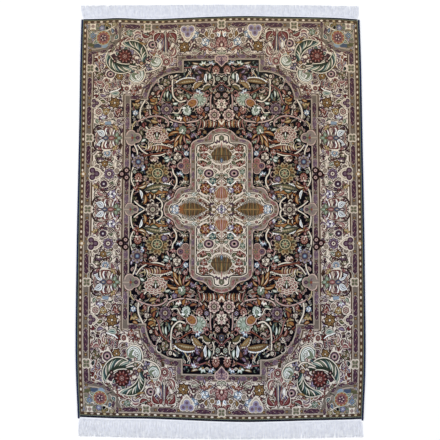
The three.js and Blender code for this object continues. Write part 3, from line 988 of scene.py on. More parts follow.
FIELD_VINES = [
    ([(44.2, 134.2), (47.8, 131.4), (49.1, 126.4), (48.9, 118.5), (47.8, 112.8), (44.2, 108.9),
      (40.6, 107.1), (35.6, 108.5)], 1.15, "cream"),
    ([(49.2, 123.5), (53.5, 122.1), (57.1, 118.5), (59.9, 112.8), (61, 108.5), (64.9, 104.2), (69.2, 101.4),
      (75.6, 100.6)], 1.1, "blush"),
    ([(75.9, 109), (80.3, 100.7), (80.8, 92.7), (78.6, 86.9), (73, 80)], 1.2, "cream"),
    ([(82.6, 88.2), (72.3, 92.2), (62.9, 93.1), (55.8, 90.5), (52.7, 86.5), (53.5, 83)], 1.2, "pink"),
    ([(53.5, 94.2), (50.6, 89.9), (44.9, 87.8), (39.2, 86.7), (32.1, 87.1), (24.9, 88.1), (21.4, 89.9),
      (17.8, 94.2), (19.2, 97.1), (21.4, 98.5)], 1.1, "shell"),
    ([(22.1, 89.9), (20.6, 87.1), (22.1, 81.4)], 1, "blush"),
    ([(72.1, 111.4), (65.6, 115.6), (59.9, 117.8), (54, 121.5)], 0.9, "rust"),
    ([(85.2, 88), (88, 84), (88.8, 78.5)], 1.1, "straw"),
    ([(88, 66), (86.1, 64.4), (83.4, 58.1), (83, 51.5)], 1.1, "cream"),
    ([(83, 64.5), (79.5, 59.6), (75, 56.2), (70.5, 54.4), (64, 53.6), (57.5, 55), (52, 58.4),
      (48, 63)], 1, "cream"),
    ([(77, 53.7), (68, 55), (63.8, 55.5), (55.8, 57.2), (50, 57.7)], 1, "rust"),
    ([(61, 69), (58, 64), (54.5, 60.5)], 1, "cream"),
    ([(50.5, 55.5), (51.3, 49.2), (52.7, 43.9), (56, 41)], 1.2, "pink"),
    ([(48.2, 41), (47.4, 36), (44.6, 31.8), (44.2, 26), (46.9, 20.5)], 1.15, "cream"),
    ([(87, 42), (88.4, 36), (88.6, 29), (85.7, 22.5)], 1.1, "cream"),
    ([(85.7, 21.5), (87.8, 16), (88.6, 9), (88.2, 0)], 1.1, "cream"),
    ([(10.2, 114), (11.1, 107.9), (10.6, 100), (13.5, 95)], 1.1, "pink"),
    ([(8.6, 123), (7.2, 127.5), (7.9, 132.5)], 0.9, "cream"),
    ([(85.7, 8.4), (81, 4.2), (75.4, 0), (81, -4.2), (85.7, -8.4)], 1, "cream"),
    ([(64, 12.2), (59.4, 8.6), (58, 4), (59.6, 0)], 1.2, "cream"),
    ([(36.8, 141), (30, 141.5), (22, 141), (15, 139)], 1, "rose"),
    ([(33, 135), (36.5, 130.5), (41, 127), (47, 129)], 0.9, "straw"),
    ([(15, 115), (22, 113.5), (28, 115), (34, 117.5), (40, 121)], 0.9, "rust"),
    ([(34, 105), (40, 101), (43, 96), (50, 97)], 0.9, "cream"),
    ([(27, 99), (21, 103.5), (16, 108), (14, 113)], 0.9, "straw"),
    ([(63, 103), (60.5, 98), (56, 93)], 0.8, "mint"),
    ([(84, 95), (87, 100), (87.5, 106)], 0.8, "rose"),
    ([(29, 82.5), (36, 80.5), (42, 76), (47, 70)], 0.9, "rust"),
    ([(68, 66), (74, 62), (80, 63.5)], 0.9, "straw"),
    ([(36, 52), (40, 57), (46, 58.5)], 0.9, "rose"),
    ([(37, 31), (39.5, 36), (38, 40)], 0.8, "mint"),
    ([(60, 27), (54, 24.5), (50, 27.5)], 0.8, "cream"),
    ([(71, 24), (78, 24), (84, 22)], 0.9, "rust"),
    ([(60, 119), (65, 112), (71, 108)], 0.8, "straw"),
    ([(0, 126), (4.5, 122), (10, 119)], 0.8, "rose"),
]

# place, length, width, turn, bend, dyes (rim, body, rib and teeth), how many teeth
FIELD_LEAVES = [
    (46.8, 124.6, 27.5, 4.8, 174.5, -0.07, "brown ochre straw white", 14),
    (28, 119.4, 12.5, 4.2, 145, -0.1, "brown gold straw cream", 7),
    (18.6, 117.6, 10.5, 3.6, 150, -0.12, "brown olive gold cream", 6),
    (15.2, 135.6, 10.5, 3.4, 270, 0.1, "moss white sky"),
    (19.2, 137, 8, 3.2, 262, 0.06, "brown umber rust"),
    (44.5, 119.6, 7.5, 2.6, 200, 0.25, "brown sand pink"),
    (76.5, 58, 30, 3.8, 176, -0.1, "brown rust amber cream", 15),
    (40, 78, 15, 3.4, 338, 0.1, "brown amber gold"),
    (42, 75, 11, 3.2, 60, 0.12, "brown amber gold"),
    (39, 76.5, 17, 3.2, 322, -0.1, "brown rust gold"),
    (42.5, 69.5, 11.5, 3.2, 290, 0.1, "brown amber straw"),
    (40.5, 67.5, 8, 2.8, 262, 0.1, "brown rose cream"),
    (38, 71.5, 7.5, 2.2, 195, 0.12, "brown rose pink"),
    (48.5, 66, 12.5, 3.2, 5, 0.1, "brown rust amber"),
    (78, 18.4, 31, 5, 170.5, -0.07, "navy olive straw white", 15),
    (76.5, 13, 27, 3.6, 171, -0.07, "brown amber gold"),
    (83, 21.5, 11.5, 3.2, 140, 0.15, "brown gold cream"),
    (83, 21.5, 8.5, 2.6, 215, -0.15, "moss sage mint"),
    (82.5, 22, 13, 3, 238, -0.15, "brown amber straw"),
    (83.5, 22.5, 7.5, 2.4, 95, 0.1, "brown rose pink"),
    (76.4, 4.6, 11, 2.8, 96, 0.15, "brown amber straw"),
    (70.5, 9.6, 7, 2.4, 90, 0.1, "brown umber cream"),
    (66.8, 9.8, 7, 2.2, 96, 0.1, "brown gold cream"),
    (70.5, 19, 9, 3.4, 175, 0.1, "moss sage cream"),
    (57, 51.6, 9.5, 4, 190, 0.05, "teal mint white"),
    (61, 13.8, 6, 2.2, 250, 0.1, "navy teal mint"),
    (54, 14.5, 6.5, 2.6, 190, 0.2, "plum mauve lilac"),
    (47.5, 96, 6.5, 2.8, 200, 0.15, "moss sage mint"),
    (49, 105.5, 6.5, 2.8, 170, 0.15, "moss mint white"),
    (53, 118.5, 8, 2.2, 275, 0.1, "moss mint white"),
    (55.5, 118, 8, 2, 280, 0.1, "moss sage cream"),
    (50.6, 116, 8.5, 2, 280, -0.1, "moss teal mint"),
    (78.5, 92, 6, 2.4, 190, 0.1, "brown white pink"),
    (88, 56, 6, 1.8, 250, 0.1, "plum lilac white"),
    (86, 60.5, 5, 1.8, 120, 0.1, "plum lilac white"),
    (24.5, 112.5, 6.5, 3, 160, 0.15, "moss sage straw"),
    (32, 109.5, 7, 3, 60, 0.1, "moss sage mint"),
    (30, 146.5, 9, 2.6, 188, 0.12, "brown ochre cream"),
    (34.5, 144.5, 6, 2.4, 240, 0.1, "moss teal mint"),
    (24, 138.5, 6, 2.2, 215, 0.1, "plum mauve lilac"),
    (38.5, 131.5, 7, 2.6, 160, 0.1, "slate navy slate"),
    (70, 114, 8, 2, 150, 0.1, "brown umber beige"),
    (87.5, 26.5, 5, 2, 110, 0.1, "moss sage cream"),
    (41, 47, 6.5, 2.6, 250, 0.1, "moss white mint"),
    (40.5, 60.5, 9, 2.2, 100, -0.1, "brown cream ivory"),
    (45.5, 62.5, 8, 2.8, 255, 0.1, "moss cream rose"),
    (49.5, 78.5, 7, 2.4, 10, 0.1, "moss mint cream"),
    (31, 93.5, 8, 2.4, 190, 0.1, "brown rust gold"),
    (18, 90, 6.5, 2.2, 130, 0.1, "brown ochre cream"),
    (5, 108.5, 6.5, 2.2, 140, 0.12, "moss sage mint"),
    (12.5, 128.5, 7.5, 3, 92, 0.1, "moss mint white"),
    (5.2, 132.5, 5.5, 2, 100, 0.1, "brown white pink"),
    (74.5, 70, 6, 2.6, 330, 0.1, "moss mint white"),
    (80, 79.5, 6.5, 3, 250, 0.1, "moss olive sand"),
]

# the leaves that lie over the flowers
LATE_LEAVES = [
    (40.8, 76.8, 13, 2.2, 348, 0.12, "brown amber straw"),
    (40.4, 76.2, 17, 2.3, 325, -0.1, "brown rust cream"),
    (39.4, 75.6, 14, 2.1, 303, 0.12, "brown amber cream"),
    (38.4, 75.2, 12.5, 2.1, 281, 0.1, "brown gold straw"),
    (37.2, 75, 11, 2.1, 256, 0.1, "brown rust pink"),
    (36, 75.4, 8.5, 2, 228, -0.1, "brown amber straw"),
    (70.5, 89.4, 9, 3.2, 196, 0.1, "brown gold straw"),
    (78, 87.2, 7, 2.6, 250, 0.1, "brown red rose"),
    (86.4, 107.6, 6, 2.4, 160, 0.1, "brown amber straw"),
    (71.4, 110.4, 7, 2.8, 200, 0.12, "brown amber gold"),
    (66, 104.4, 7, 2.6, 250, 0.12, "brown rust amber"),
    (83, 21.5, 11.5, 3, 158, 0.15, "brown gold cream"),
    (83, 21, 12.5, 2.8, 236, -0.15, "brown amber straw"),
    (80.5, 20, 10.5, 2.6, 258, -0.1, "moss white sky"),
    (60.4, 119.4, 8, 2.6, 300, 0.14, "brown rust pink"),
    (37.2, 93, 7, 2.6, 250, 0.12, "brown amber gold"),
    (17.6, 97.4, 6, 2.8, 260, 0.12, "brown rust amber"),
    (56, 47.8, 6, 2.6, 150, 0.1, "teal mint white"),
]

# kind, place, size, scheme and, where it points somewhere, its turn
FIELD_FLOWERS = [
    ("bud", 85.2, 102.6, 5, "gold", 100),
    ("rosette", 85.6, 96.4, 2.5, "sky"),
    ("rosette", 67.4, 107.9, 4, "gold"),
    ("bud", 66.4, 96, 4.6, "ochre", 120),
    ("rosette", 55, 126.6, 3.8, "olive"),
    ("rosette", 64.9, 120.4, 2.6, "dusk"),
    ("round", 54.6, 100, 6.2, "dusk"),
    ("palmette", 34.4, 98.2, 5.2, "mint", 250),
    ("bud", 40, 110.6, 5.4, "olive", 70),
    ("round", 82.1, 47.5, 6.8, "haze"),
    ("palmette", 81.7, 31.9, 4.6, "rust", 90),
    ("bud", 83.4, 19.6, 4.8, "rust", 95),
    ("round", 67.4, 0, 7.4, "beige"),
    ("rosette", 43.5, 52.6, 4.2, "beige"),
    ("bud", 47.2, 41.2, 4.2, "rose", 80),
    ("ring", 46.9, 47, 2.2, "cream"),
    ("bud", 67.2, 47.6, 4.2, "pink", 90),
    ("bud", 36.8, 26, 4.4, "beige", 80),
    ("bud", 41.2, 34, 4.2, "sky", 100),
    ("rosette", 51.8, 57, 3, "rust"),
    ("bud", 65.6, 88, 4.8, "gold", 20),
    ("bud", 61.5, 86.6, 4, "rose", 60),
    ("rosette", 35.7, 90.6, 3, "rust"),
    ("bud", 42, 89.6, 4, "cream", 100),
    ("palmette", 21.4, 98.4, 4.2, "rust", 240),
    ("round", 7.2, 94, 6.2, "pink"),
    ("rosette", 0, 104.4, 6, "pink"),
    ("ring", 14.6, 100, 2.6, "lilac"),
    ("ring", 3.9, 113.4, 3, "pink"),
    ("ring", 0, 119.9, 3.4, "slate"),
    ("palmette", 5.6, 138.5, 4.5, "rust", 90),
    ("ring", 3.7, 129.7, 2.8, "mint"),
    ("bud", 18.2, 143.6, 4.6, "mint", 70),
    ("bud", 10.4, 144, 4, "sky", 110),
    ("bud", 23.4, 115.6, 4.2, "sky", 120),
    ("bud", 15.1, 111.8, 4, "rose", 80),
    ("bud", 25.4, 130.4, 4.4, "mauve", 200),
    ("bud", 27.2, 143, 4, "lilac", 250),
    ("rosette", 72.4, 102.2, 2.6, "beige"),
    ("ring", 49.6, 132, 2.2, "cream"),
    ("ring", 68.4, 115.6, 1.9, "cream"),
    ("ring", 62.8, 113.4, 1.9, "cream"),
    ("bud", 75.6, 95.4, 3.8, "rust", 200),
    ("bud", 53, 11.6, 3.8, "lilac", 170),
    ("ring", 85.6, 37.5, 2.2, "mint"),
    ("ring", 87, 70, 2, "sage"),
    ("rosette", 56, 30, 2.6, "mauve"),
    ("bud", 75.8, 40.4, 3.8, "sky", 20),
    ("ring", 74.4, 47.2, 2.2, "rose"),
    ("bud", 60.6, 21, 4.4, "beige", 180),
    ("bud", 49.4, 14.4, 3.6, "rust", 200),
    ("ring", 40, 66.2, 2, "red"),
    ("bud", 34.2, 73.6, 3.8, "sage", 120),
    ("ring", 33.2, 77.4, 2.4, "rose"),
    ("rosette", 45.6, 84.2, 2.4, "mauve"),
    ("bud", 58.2, 78, 3.2, "gold", 150),
    ("ring", 76.4, 85.2, 2.2, "rose"),
    ("bud", 21.4, 75.4, 3.8, "rust", 40),
    ("bud", 27.6, 72.6, 4.2, "mauve", 60),
    ("ring", 16.6, 77, 2, "gold"),
    ("bud", 33, 68.6, 3.6, "sage", 300),
    ("rosette", 35.4, 62.6, 2.4, "rose"),
    ("bud", 38.2, 50.4, 3.8, "rust", 200),
    ("rosette", 34.8, 55.8, 2.4, "sky"),
    ("bud", 36.4, 30.4, 3.6, "ochre", 160),
    ("ring", 50.2, 17.6, 2.2, "mauve"),
    ("bud", 58.6, 14.4, 3.8, "gold", 220),
]


def shaken(edge, pitch, rng, keep):
    """Places on a grid of the given pitch out to an edge, each moved a little, where keep(u, v) passes."""
    rows = np.meshgrid(np.arange(pitch / 2, edge[0], pitch), np.arange(pitch / 2, edge[1], pitch))
    spots = np.stack(rows, -1).reshape(-1, 2)
    spots = spots + rng.uniform(-0.32, 0.32, spots.shape) * pitch
    return spots[keep(spots[:, 0], spots[:, 1])]


def sprigs():
    """The small shapes of the growth between the flowers, each as its rim, its body and its vein."""
    t = np.linspace(0.1, 3.9, 6)
    coil = np.column_stack([np.cos(t), np.sin(t)]) * np.linspace(1.9, 1, 6)[:, None]
    hook = [ribbon(coil, 2.1, 0.3)], [ribbon(coil, 1.25, 0.2)], [ribbon(coil[1:5], 0.36, 0.5)]
    blade = [[drop(long, wide, 0.2, 4) - away] for long, wide, away in (
        (5, 2.9, (2.4, 0.6)), (4, 1.9, (1.9, 0.5)), (2.8, 0.6, (1.3, 0.4)))]
    pair = [[turned(drop(long, wide, side * bend, steps) + away, turn) for side, turn in ((1, 0), (-1, 92))]
            for long, wide, bend, steps, away in ((3.9, 2.3, 0.16, 4, (0, 0)), (3, 1.4, 0.16, 4, (0.3, 0.1)),
                                                  (2, 0.5, 0.1, 2, (0.7, 0.1)))]
    blossom = [scallop(2.3, 5, 0.3, 3)], fan(oval(1.5, 1.2, 6), 5, 360, 0.55), [disc(0.6, 5)]
    spray = [fan(drop(long, wide, bend, steps) + (x, 0), 3, 110)
             for long, wide, bend, steps, x in ((4, 1.7, 0.12, 4, -0.6), (3.3, 1, 0.12, 4, -0.2),
                                                (1.8, 0.4, 0.1, 2, 0.6))]
    sickle = [[drop(long, wide, 0.3, 4) - away] for long, wide, away in (
        (5.4, 2.3, (2.6, 0.8)), (4.4, 1.4, (2.1, 0.7)), (2.6, 0.5, (1.2, 0.5)))]
    return hook, blade, pair, blossom, spray, sickle


def undergrowth(chart, edge, pitch, seed, rims, dyes, veins, size, keep):
    """Small growth over a ground: hooked leaves, blades, paired leaves, blossoms and sprays, each with a
    rim, a body and a vein, on a shaken grid."""
    rng = np.random.default_rng(seed)
    kinds = sprigs()
    choices = [names.split() for names in (rims, dyes, veins)]
    for spot in shaken(edge, pitch, rng, keep):
        layers = kinds[int(rng.integers(len(kinds)))]
        turn, grow = rng.uniform(0, 360), size * rng.uniform(0.85, 1.2)
        for shapes, choice in zip(layers, choices):
            chart.fill(shapes, choice[int(rng.integers(len(choice)))], spot, turn, grow)


def tendrils(chart, edge, pitch, seed, dyes, length, width, rim, keep):
    """Thin curling stems on a shaken grid. A stem's heading is a + b (0.8 s + 2.6 s^3), with s along it
    and b 1 or -1, so that it curls in like a crook."""
    rng = np.random.default_rng(seed)
    dyes = dyes.split()
    s = np.linspace(0, 1, 9)
    for spot in shaken(edge, pitch, rng, keep):
        heading = rng.uniform(0, 2 * np.pi) + rng.choice((-1, 1)) * (0.8 * s + 2.6 * s ** 3)
        step = np.column_stack([np.cos(heading), np.sin(heading)]) * length * rng.uniform(0.7, 1.3) / 9
        path = spot + np.cumsum(step, axis=0) - step.sum(axis=0) / 2
        chart.fill(ribbon(path, width + 0.8, 0.6), rim)
        chart.fill(ribbon(path, width, 0.5), dyes[int(rng.integers(len(dyes)))])


def inside_field(u, v):
    """Which places lie on the dark field: within its box and its round corners, outside the medallion."""
    margin = 2
    box = (u < FIELD[0] - margin) & (v < FIELD[1] - margin)
    x = np.maximum(u - CORNER_CENTRE[0], 0) / (CORNER_RADII[0] - margin)
    y = np.maximum(v - CORNER_CENTRE[1], 0) / (CORNER_RADII[1] - margin)
    cut = (u > SHOULDER[0]) & (v > CORNER_FOOT) & (x * x + y * y > 1)
    cut |= (u > 73) & (v > CORNER_FOOT - margin)
    middle = ((u < 33) & (v < 68)) | (u / 56 + v / 40 < 1) | ((u < 14) & (v < 80))
    return box & ~cut & ~middle


def draw_field(chart):
    """The field: small blossoms, then winding vines, leaves and flowers over them."""
    chart.ground = "ink"
    undergrowth(chart, FIELD, 4.3, 11, "brown umber sand brown pink cream moss",
                "red umber moss plum rust teal slate ochre olive rose sage", "cream sand gold ink mint", 0.9,
                inside_field)
    tendrils(chart, FIELD, 8, 12, "cream sand blush pink", 13, 0.8, "ink", inside_field)
    for row in FIELD_LEAVES:
        if len(row) == 7:
            leaf(chart, *row)
    for points, width, dye in FIELD_VINES:
        vine(chart, points, width * 1.1, dye, "ink")
    for row in FIELD_LEAVES:
        if len(row) == 8:
            leaf(chart, *row)
    comb(chart, (60.5, 57.6), (76.5, 59.5), 6.6, "straw brown pink gold cream brown", 13)
    comb(chart, (0, 81.8), (20.5, 80.6), 9, "rust straw amber brown rust cream", 13)
    comb(chart, (31, 88.6), (42, 87.8), 3.6, "rose cream", 6)
    chart.fill(drop(7.5, 3.4), "rust", (0, 80.6), 90)
    for side in (-1, 1):
        chart.fill(drop(6, 1.8, 0.1 * side), "cream", (0, 84), 90 - 38 * side)

    # the two great flowers of the field and the fan leaf above them
    layered_palmette(chart, (64, 74.6), 8.6, 90)
    lay = chart.pen((62.8, 36))
    lay(scallop(12.4, 15, 0.14, 3, 0.92), "brown")
    for k in range(15):
        turn, long = 24 * k + 5, (1, 0.9, 1.06, 0.94)[k % 4]
        body = ("ochre", "gold", "olive")[k % 3]
        for length, width, reach, dye in ((6.2, 4, 5.8, "straw"), (5.6, 3.3, 5.8, body),
                                          (3.4, 0.8, 7.4, "brown"), (1.6, 0.9, 9.6, "sand")):
            lay(turned(drop(length * long, width, 0.05, 4) + (reach, 0), turn) * (1, 0.92), dye)
    for radius, sides, dye in ((6.2, 16, "brown"), (5.7, 16, "straw"), (4.8, 14, "moss")):
        lay(disc(radius, sides, 0.94), dye)
    lay(fan(drop(4.2, 2.3, 0.1, 4), 8, 360, 0.2), "sage", 10)
    lay(fan(drop(2.8, 0.9, 0, 4), 8, 360, 0.9), "straw", 10)
    lay(disc(1.2, 6), "rust")
    lay = chart.pen((21.8, 109.6))
    for radius, dye in ((8, "shell"), (7.2, "moss"), (6.8, "mint")):
        lay(scallop(radius, 9, 0.14), dye)
    lay(fan(drop(4.4, 1.1, 0, 4), 11, 360, 1.6), "sage", 60)
    lay(fan(drop(2.2, 0.8, 0, 4), 11, 360, 4), "cream", 76)
    lay = chart.pen((29.2, 105.6), -30)
    for radius, dye in ((6.6, "brown"), (6, "shell"), (4.8, "brown"), (4.4, "amber")):
        lay(disc(radius, 14, 0.72), dye)
    lay(fan(drop(3.4, 0.9, 0, 4), 6, 300, 0.4), "gold")
    chart.fill(drop(4.6, 1.4, 0.1), "rust", (31.4, 107.4), 210)
    for row in FIELD_FLOWERS:
        flower(chart, *row)
    for row in LATE_LEAVES:
        leaf(chart, *row)
    palmette(chart, (38.6, 79.4), 4.2, 100, "sage", 7, 1, "white")


# ---- The ivory medallion ----

MEDALLION_EDGE = [(0, 81.4), (6.5, 79.8), (11.5, 77.2), (14.6, 73.6), (18.2, 71.4), (23.1, 70.2),
                  (28.2, 67.8), (31, 63.6), (31.4, 59), (31.2, 50.1), (31.1, 37.6), (30.9, 29),
                  (31.4, 23.8), (34.2, 22.2), (38.4, 22.2), (42.4, 20.8), (45.2, 17.4), (46.8, 12.6),
                  (49.8, 10), (53.2, 8.4), (55.8, 5.2), (56.9, 0)]
MEDALLION_INNER = [(0, 75), (4, 74.6), (7, 73), (7.6, 69), (8.4, 66.4), (12, 65.6), (19, 65.4), (23, 64),
                   (24.9, 61), (24.9, 40), (24.9, 19), (28, 16.2), (35, 15.6), (38.8, 13.6), (40.6, 8.4),
                   (44.5, 5.6), (49.5, 4.2), (51.4, 0)]

# points, width, dye and rim
MEDALLION_VINES = [
    ([(0, 46), (0, 34), (0, 24)], 0.8, "rose", "ivory"),
    ([(7.5, 40.8), (3.8, 36.8), (0, 32), (-4.5, 27.5)], 1, "umber", "ivory"),
    ([(0, 31.2), (4.5, 27.2), (9, 24), (13.5, 26)], 1, "umber", "ivory"),
    ([(16.8, 57.6), (13.2, 56.6), (10.8, 53), (9.6, 48.6), (6, 45.6), (1, 44.6)], 1.7, "ivory", "umber"),
    ([(22.6, 49.4), (18, 49.6), (13.8, 47.4)], 1.3, "cream", "olive"),
    ([(18.4, 41.2), (13.2, 42.2), (8, 41.4), (4.2, 39.4), (1.6, 36.2)], 1.6, "ivory", "umber"),
    ([(18.8, 31.4), (14.4, 30.8), (10.6, 31.8), (6.6, 34), (3.6, 37.4)], 1.5, "ivory", "olive"),
    ([(14.4, 28.6), (10.8, 25.2), (6.4, 24.2), (2.4, 26.4)], 1.4, "white", "umber"),
    ([(36.5, 10.6), (30.5, 12.6), (23, 12.4), (16.5, 10), (11.5, 6.4)], 1.5, "ivory", "olive"),
    ([(10, 64), (13, 61.6), (13.2, 57.8)], 1.3, "ivory", "umber"),
    ([(42, 9), (38.5, 12), (33, 14)], 1.1, "ivory", "sage"),
    ([(4, 3), (8, 6.5), (10.5, 9.5)], 0.9, "umber", "ivory"),
    ([(22.5, 33.5), (20.8, 37.5), (22.4, 42.5)], 0.9, "olive", "ivory"),
]

MEDALLION_LEAVES = [
    (7.6, 50, 7.5, 3, 25, 0.12, "moss sage mint"),
    (9.8, 48.4, 7, 2.6, 330, -0.12, "moss olive sage"),
    (12, 63.5, 6.5, 2.4, 220, 0.2, "brown umber gold"),
    (21.5, 41.5, 6, 2.8, 265, 0.1, "moss sage mint"),
    (2, 34.6, 5.2, 2.2, 340, 0.1, "moss sage mint"),
    (5.6, 25.8, 5, 1.8, 200, 0.1, "brown umber rust"),
    (10.8, 15.8, 5, 1.8, 190, 0.1, "brown umber gold"),
    (20.8, 31.5, 4.4, 1.7, 100, 0.1, "brown gold straw"),
    (16, 32.5, 4.4, 1.7, 330, 0.1, "brown gold straw"),
    (6.4, 11, 4.6, 1.6, 230, 0.1, "brown cream white"),
    (22.8, 57, 5.5, 2, 265, 0.1, "moss sage teal"),
    (23, 49, 5, 1.8, 250, 0.1, "brown rust pink"),
    (20.5, 13, 5, 1.8, 330, 0.1, "brown gold cream"),
    (11, 40.5, 5, 1.8, 120, 0.1, "brown rose pink"),
]

MEDALLION_FLOWERS = [
    ("ring", 0, 71.2, 3, "sage"),
    ("bud", 3.4, 66, 3.6, "plum", 70),
    ("bud", 17, 58.6, 5.2, "rust", 95),
    ("rosette", 17.2, 53.4, 3, "rust"),
    ("bud", 17.8, 43.6, 4.6, "rust", 80),
    ("ring", 12.5, 35.8, 4.7, "mauve"),
    ("rosette", 20.6, 37.4, 2.4, "sage"),
    ("rosette", 0, 33.4, 2.6, "olive"),
    ("ring", 0, 38.2, 1.6, "cream"),
    ("rosette", 8.6, 28.6, 3.2, "teal"),
    ("bud", 9.4, 3.8, 3.4, "plum", 60),
    ("rosette", 45.4, 1.4, 3.2, "sky"),
    ("rosette", 27.2, 15, 2, "mint"),
    ("ring", 34.6, 13.4, 1.8, "rose"),
    ("ring", 22.6, 29, 1.8, "rose"),
    ("bud", 20.4, 26, 2.8, "sage", 60),
    ("ring", 22.6, 18.6, 1.8, "mauve"),
    ("bud", 21.4, 50.6, 3, "olive", 100),
]


PENDANT = (36.4, 43.4)

# cartouches and small blossoms along the band
BAND_BARS = [(3.5, 78.6, 6, 350), (11.2, 71.6, 6, 290), (21, 68.2, 7, 350), (28, 63, 6, 278),
             (28, 53, 8, 90), (28, 34, 8, 90), (28, 24.5, 5, 90), (33.5, 18.8, 7, 340),
             (42.6, 13.2, 6, 300), (51, 6.2, 6, 325)]
BAND_BLOSSOMS = [(8.2, 77), (15.2, 69.2), (28, 58.2), (28, 47.6), (28, 40), (28, 29.4), (29, 20.6),
                 (38.5, 17.2), (45.6, 9.6), (54, 2.4)]


def grown(path, by):
    """A quarter outline moved out by a width, square to itself, its ends kept on the middle lines."""
    step = np.gradient(path, axis=0)
    out = path + np.column_stack([-step[:, 1], step[:, 0]]) / np.linalg.norm(step, axis=1)[:, None] * by
    out[0, 0] = 0
    out[-1, 1] = 0
    return np.maximum(out, 0)


def closed_quarter(path):
    """A quarter outline closed through the middle of the rug."""
    return stepped(np.vstack([path, [(0, 0)]]))


def lay_pendant(chart, radius, sides, box, dye):
    """The lobed pendant at the medallion's shoulder, joined to it by a bar."""
    lobes = [disc(radius, sides) + spot for spot in ((-1.2, 4.4), (-1.2, -4.4), (3.4, 0))]
    chart.fill(lobes + [bar(*box)], dye, PENDANT)


def inside_panel(u, v):
    """Which places lie on the medallion's upright panel."""
    return (u < 23.2) & (v < 63.5)


def inside_arm(u, v):
    """Which places lie on the medallion's side arms."""
    return (u > 23) & (u / 50 + v / 33 < 1)


def draw_medallion(chart):
    """The medallion: its lobed band, the ivory panel and the flowers on it."""
    edge = curve(MEDALLION_EDGE, 3)
    inner = curve(MEDALLION_INNER, 3)
    for radius, dye in ((4.6, "ink"), (3.9, "shell"), (3.2, "umber")):
        lay_pendant(chart, radius, 12, (-6, -radius, 0, radius), dye)
    chart.fill(closed_quarter(grown(edge, 0.9)), "ink")
    chart.fill(closed_quarter(edge), "shell")
    chart.fill(closed_quarter(grown(edge, -1)), "beige")
    lay_pendant(chart, 2.8, 10, (-6, -2.6, 2, 2.6), "blush")
    for u, v, petal, heart in ((35.2, 47.8, "rose", "olive"), (35.2, 39, "fawn", "rose"),
                               (33.6, 43.4, "khaki", "gold")):
        chart.fill(fan(drop(2.9, 1.4, 0.1, 4), 6, 360, 0.4), petal, (u, v), 20)
        chart.fill(disc(0.9, 6), heart, (u, v))
    for radius, dye in ((2.6, "plum"), (1.9, "mauve"), (0.8, "ink")):
        chart.fill(disc(radius, 10, 0.9), dye, (39.8, 43.4))
    for u, v, length, turn in BAND_BARS:
        guard_bar(chart, (u, v), length, 3, turn, "mauve" if length > 6 else "rose")
        side = math.radians(turn + 90)
        for reach, dye in ((2.5, "olive"), (-2.5, "sage")):
            spot = (u + reach * math.cos(side), v + reach * math.sin(side))
            chart.fill(drop(length * 0.7, 1.1, 0.05, 4) - (length * 0.35, 0), dye, spot, turn)
    for at in BAND_BLOSSOMS:
        quatrefoil(chart, at, 1.6, "olive", "rose", 0.7, 5)
    for grow, dye in ((1.4, "umber"), (1, "cream"), (0.2, "ink"), (-0.9, "ivory")):
        chart.fill(closed_quarter(grown(inner, grow)), dye)

    chart.ground = "ivory"
    rims, dyes = "brown umber red moss beige", "gold olive sage rose khaki olive ochre umber rust moss"
    undergrowth(chart, (24, 66), 3.2, 5, rims, dyes, "cream brown", 0.96, inside_panel)
    undergrowth(chart, (48, 16), 3, 6, rims, dyes, "cream brown", 0.92, inside_arm)
    undergrowth(chart, (48, 18), 2.6, 7, "olive umber moss", "sage olive umber fawn gold", "cream white",
                0.86, inside_arm)
    undergrowth(chart, (24, 66), 3.6, 9, "olive umber brown", "sage olive gold rust umber", "cream white",
                0.66, inside_panel)
    for row in MEDALLION_VINES:
        vine(chart, *row)
    for row in MEDALLION_LEAVES:
        leaf(chart, *row)

    # the striped flowers on the middle line and the two great pointed ovals at the sides
    striped(chart, (0, 55.4), 9.2, 9.9, 4.4, 90,
            ((2, "umber", 0.7), (1.2, "cream", 2.4), (0.5, "umber", 1.8)),
            "ochre olive umber gold khaki umber olive gold olive umber khaki gold umber olive ochre", 14)
    chart.fill(bar(0, 53.3, 8.8, 54), "umber")
    for v, long, wide, dye in ((53.6, 11, 1.6, "gold"), (61, 7, 1.5, "blush"), (46, 6.2, 2.8, "slate"),
                               (46.6, 4, 1.2, "sky")):
        chart.fill(drop(long, wide), dye, (0, v), 90)
    striped(chart, (0, 16.4), 7.6, 6.6, 3, 90, ((1.2, "cream", 2.2), (0.5, "rust", 1.7)),
            "rust straw amber blush gold pink amber pink gold blush amber straw rust", 22)
    chart.fill(drop(9, 1.3), "rose", (0, 14.4), 90)
    striped(chart, (30.2, 0), 10.4, 16.2, 2.7, 90,
            ((3, "olive", 0.8), (2.2, "umber", 0.7), (1.4, "white", 1.5), (0.6, "umber", 1.5)),
            "gold amber rust amber gold amber ochre gold olive umber gold olive "
            "ochre umber gold olive umber ochre olive umber gold ochre khaki", 30)
    for u, long, wide, dye in ((17, 26, 1.3, "gold"), (36.8, 9.6, 4.6, "rust"), (37.4, 8.4, 3.2, "amber"),
                               (39.4, 5, 1.3, "rust")):
        chart.fill(drop(long, wide), dye, (u, 0))

    # the gold flower held in a pale crescent, and the grey one beside it
    crescent = curve([(19.6, 27.2), (22.4, 22.6), (21, 16.8), (16.4, 13.8), (11.6, 13.6)])
    chart.fill(ribbon(crescent, 3.4, 0.3), "umber")
    chart.fill(ribbon(crescent, 2.4, 0.25), "ivory")
    lay = chart.pen((15.8, 20.8))
    lay(scallop(5.8, 9, 0.12, 3), "brown")
    for k in range(9):
        body, vein = ("gold", "amber", "rust")[k % 3], ("brown", "cream")[k % 2]
        for long, wide, dye in ((5.2, 3, body), (3.4, 0.9, vein)):
            lay(drop(long, wide, 0.08, 4) + (0.4, 0), dye, 40 * k + 12)
    for radius, dye in ((2.2, "red"), (1.5, "pink"), (0.7, "brown")):
        lay(disc(radius, 8), dye)
    rosette(chart, (9.4, 19.2), 3, "lilac", 5, 20)
    for row in MEDALLION_FLOWERS:
        flower(chart, *row)

